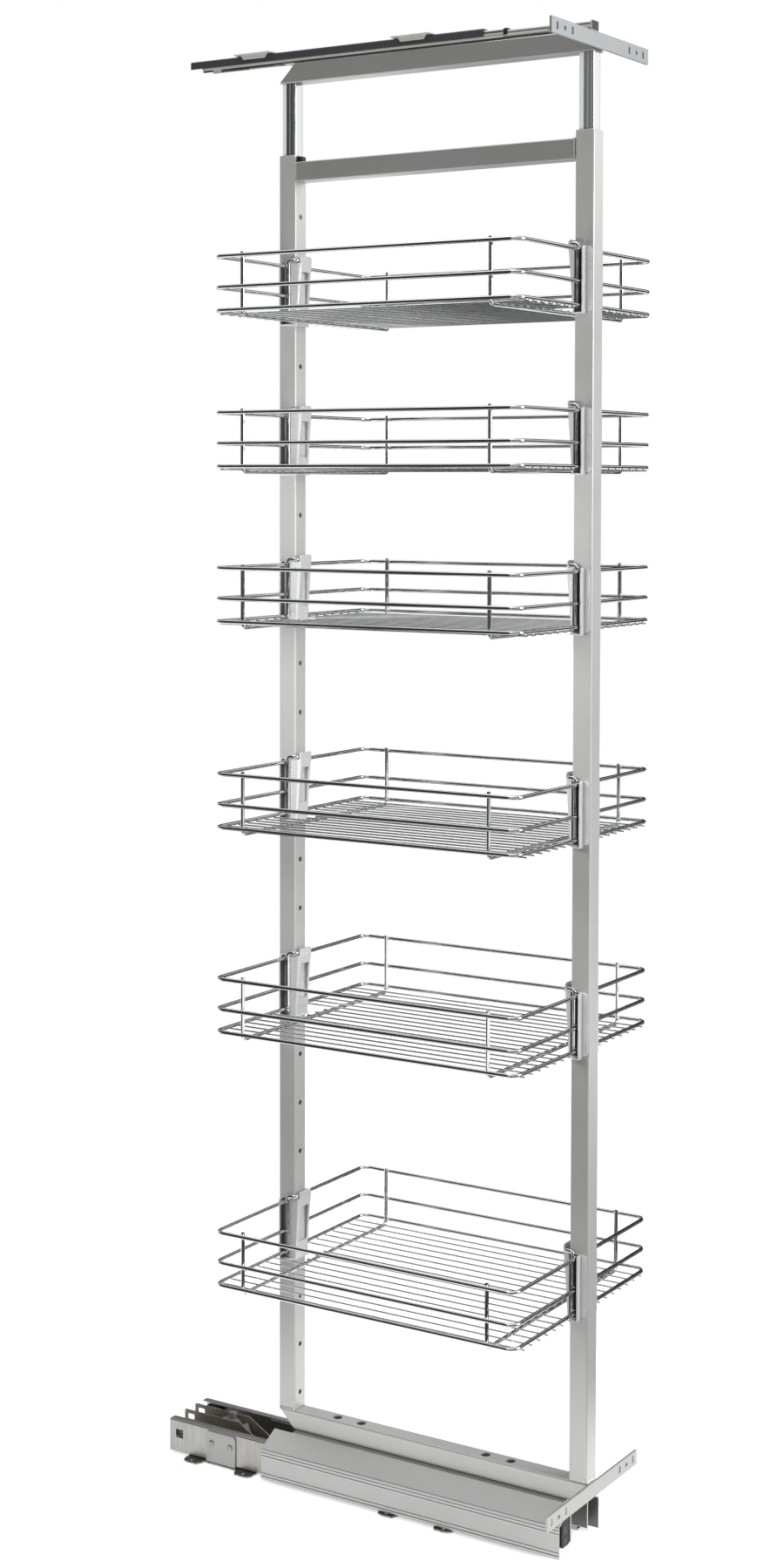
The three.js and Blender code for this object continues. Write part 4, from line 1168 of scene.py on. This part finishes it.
def top_rails():
    z = TOP_BEAM_TOP + GAP
    inner = Part()
    inner_top = z + 9.6
    web = [(p[0], z + inner_top - p[1]) for p in u_section(9.4, inner_top, z, 1.2, 0.4)]
    inner.prism(web, "y", -220.9, 222.9, edge=0.2)
    inner.prism(panel(-9.6, 8.6, z + 0.4, z + 11.8, 0.8, 18), "y", -222.1, -220.6, paint=1, edge_paint=0)
    inner.prism(panel(-7.6, 7.6, z + 1.6, z + 8.6, 1.5, 18), "y", 222.7, 240.5, edge=0.6, paint=2)
    # the lower strip is the painted shadow gap above the beam
    painted_shade_strips(inner, 9.4, -220.5, 222.5, ((z + 0.2, z + 2.7), (z + 6.6, z + 8.0)), 3)
    finish(inner.mesh(), "top_rail_slide", "top_carriage",
           [RAIL_ZINC, STOP, BLACK, GREASE_AND_SHADE], ["top_rail_inner"])
    mid_x, mid_top = 10.95, inner_top + 1.55
    out_x, out_top = 12.5, mid_top + 1.55
    for x, top, foot, start, end, lined, lines, name, body, node in (
            (mid_x, mid_top, z + 2.6, -164, 290, (-163.5, 289.5), ((2.7, 3.2), (6.8, 8.2)),
             "top_rail_second", "top_middle", "top_rail_middle"),
            (out_x, out_top, z + 2.2, -103, 351, (-102.5, 337), ((5.0, 5.7), (8.0, 10.4)),
             "top_rail_fixed", "top_runner", "top_rail_outer")):
        rail = Part()
        rail.prism(u_section(x, top, foot, 1.2), "y", start, end, edge=0.2)
        lining(rail, x, top, foot, *lined)
        painted_shade_strips(rail, x, start + 0.3, end - 0.3, [(z + low, z + high) for low, high in lines], 1)
        finish(rail.mesh(), name, body, [RAIL_ZINC, GREASE_AND_SHADE], [node])
    cap = Part()
    cap.prism(u_section(out_x + 0.6, out_top + 0.6, z + 5.0, 1.8), "y", -108, -103.3, edge=0.5)
    finish(cap.mesh(), "top_rail_end_cap", "top_runner", [BLACK], ["top_rail_cap"])
    hood_x, hood_top = out_x + 2.3, out_top + 2.3
    hood = Part()
    hood.prism(u_section(hood_x, hood_top, hood_top - 9.8, 2.0, 0.3), "y", -76, 368, edge=0.4)
    finish(hood.mesh(), "top_rail_cover", "top_runner", [HOOD], ["top_rail_hood"])
    seat, clip_x = hood_top + GAP, hood_x + 1.8
    edge_in = (22 - clip_x) / 1.1
    for end, cy in (("rear", 265.0), ("front", 25.0)):
        clip = Part()
        bores = [circle(s * (22 - edge_in), cy + s * (29 - 2 * edge_in), 2.2, 16) for s in (1, -1)]
        clip.prism(panel(-22, 22, cy - 29, cy + 29, 3.0, 18), "z", seat, seat + 1.5, bores, 0.25)
        lug = rounded([(cy - 17, seat - 5.2), (cy + 17, seat - 5.2), (cy + 21, seat + 0.4),
                       (cy - 21, seat + 0.4)], [1.2, 1.2, 0.2, 0.2])
        for s in (1, -1):
            clip.prism(lug, "x", clip_x - 1.5, clip_x, edge=0.25, side=s)
        finish(clip.mesh(), f"ceiling_clip_plate_{end}", "top_runner",
               [RAIL_ZINC], [f"ceiling_clip_{end}"])


# --- camera, floor and light ---
WHITE = (1, 1, 1, 1)
FLOOR_HALF, FLOOR_LEVEL, CARD_LEVEL, CARD_STEPS = 14, -0.0005, 0.001, 24
# name, azimuth from +y towards +x, distance, width, foot and top, in metres
CARDS = (("shade_card_left", -50, 2.2, 4.6, 0.0, 4.2),
         ("shade_card_camera", 242, 4.4, 2.6, 0.0, 3.2),
         ("shade_card_right", 84, 3.2, 3.0, 0.7, 4.4),
         ("shade_card_front_right", 120, 3.2, 1.9, 0.0, 2.0),
         ("shade_card_front", 182, 5.0, 4.2, 0.3, 4.6),
         ("shade_card_rear", 34, 4.2, 3.0, 0.5, 4.2),
         ("shade_card_side", 216, 4.6, 1.8, 0.3, 3.6))
# name, inner and outer radius, first and last azimuth
FLOOR_CARDS = (("shade_card_floor", 0.62, 0.84, 0, 360), ("shade_card_floor_far", 0.84, 2.4, 32, 318))


def camera():
    """The photograph's camera, solved from the unit's straight edges."""
    yaw, pitch, roll = (math.radians(angle) for angle in (57.83, -2.30, 0.12))
    forward = Vector((math.sin(yaw) * math.cos(pitch), math.cos(yaw) * math.cos(pitch), math.sin(pitch)))
    right = Vector((math.cos(yaw), -math.sin(yaw), 0))
    up = right.cross(forward)
    across = right * math.cos(roll) + up * math.sin(roll)
    upward = up * math.cos(roll) - right * math.sin(roll)
    data = bpy.data.cameras.new("photo_view")
    data.sensor_width, data.lens, data.shift_y = 36.0, 54.40, -0.128
    data.clip_end = 60
    obj = scene_object("photo_view", data)
    turn = Matrix((across, upward, -forward)).transposed().to_4x4()
    obj.matrix_world = Matrix.Translation((-2.5362, -1.6101, 1.2938)) @ turn
    bpy.context.scene.camera = obj


def is_seen(tree):
    """1 for a ray from the camera, from a gloss or through glass."""
    rays = tree.node("ShaderNodeLightPath", out=("Is Camera Ray", "Is Glossy Ray", "Is Transmission Ray"))
    return rays[0].most(rays[1]).most(rays[2])


def stage():
    """White floor that the object stands on, and the dark cards round it."""
    corners = rectangle(-FLOOR_HALF, FLOOR_HALF, -FLOOR_HALF, FLOOR_HALF)
    mesh = plain_mesh("floor", [(x, y, FLOOR_LEVEL) for x, y in corners], [(0, 1, 2, 3)])
    floor = scene_object("floor", mesh)
    material = bpy.data.materials.new("floor_white")
    tree = cleared(material)
    matte = tree.node("ShaderNodeBsdfDiffuse", {"Color": (0.78, 0.78, 0.78, 1)})
    glow = tree.node("ShaderNodeEmission", {"Color": WHITE, "Strength": 0.6 * is_seen(tree)})
    both = tree.node("ShaderNodeAddShader", {0: matte, 1: glow})
    tree.node("ShaderNodeOutputMaterial", {"Surface": both}, out=None)
    mesh.materials.append(material)
    board = bpy.data.materials.new("shade_board")
    board.use_nodes = True
    shader = board.node_tree.nodes["Principled BSDF"]
    shader.inputs["Base Color"].default_value = (0.03, 0.03, 0.03, 1)
    shader.inputs["Roughness"].default_value = 0.9
    for name, azimuth, distance, width, low, high in CARDS:
        a = math.radians(azimuth)
        centre = Vector((math.sin(a) * distance, math.cos(a) * distance, 0))
        along = Vector((math.cos(a), -math.sin(a), 0)) * width / 2
        ends = [centre - along, centre + along]
        card(name, board, [(p.x, p.y, z) for z in (low, high) for p in ends], [(0, 1, 3, 2)])
    for name, near, far, first, last in FLOOR_CARDS:
        turns = [math.radians(first + (last - first) * k / CARD_STEPS) for k in range(CARD_STEPS + 1)]
        ring = [(r * math.sin(a), r * math.cos(a), CARD_LEVEL) for r in (near, far) for a in turns]
        outer = CARD_STEPS + 1
        card(name, board, ring, [(k, k + 1, k + outer + 1, k + outer) for k in range(CARD_STEPS)])


def card(name, paint, corners, faces):
    """A dark card that shows in the metal only, as a studio's flags do."""
    mesh = plain_mesh(name, corners, faces)
    mesh.materials.append(paint)
    obj = scene_object(name, mesh)
    obj.visible_camera = obj.visible_diffuse = obj.visible_shadow = False


def light():
    """A white world, dimmer for the object than for what shows behind it, and three lamps."""
    world = bpy.data.worlds.new("tent")
    bpy.context.scene.world = world
    tree = cleared(world)
    strength = 0.62 + 0.38 * is_seen(tree)
    sky = tree.node("ShaderNodeBackground", {"Color": WHITE, "Strength": strength})
    tree.node("ShaderNodeOutputWorld", {"Surface": sky}, out=None)
    for name, place, aim, size, power, glossy in (
            ("key_panel", (1.3, -3.4, 2.0), (0, 0, 0.95), 1.6, 85.0, True),
            ("top_panel", (-0.4, 0.3, 4.1), (0, 0, 0.95), 2.0, 22.0, True),
            ("side_fill", (-0.56, 0.0, 1.15), (0, 0, 1.15), 0.3, 4.6, False)):
        data = bpy.data.lights.new(name, "AREA")
        data.shape, data.size, data.energy = "SQUARE", size, power
        obj = scene_object(name, data)
        obj.location = place
        obj.rotation_euler = (Vector(aim) - Vector(place)).to_track_quat("-Z", "Y").to_euler()
        obj.visible_glossy = glossy
    bpy.context.scene.view_settings.view_transform = "Standard"


camera()
stage()
light()
for end, side in ENDS:
    upright(end, side)
bottom_beam()
crossbar()
masts()
door_bar("lower", 118.0, 65.0, 11.0, 36.0, (76.1, 82.6), "frame")
door_bar("upper", 125.4, 1816.0, 14.4, 37.5, (1815.7, 1822.2), "top_carriage")
brackets()
baskets()
runners()
covers()
feet()
screws()
soft_close()
buffer()
top_rails()
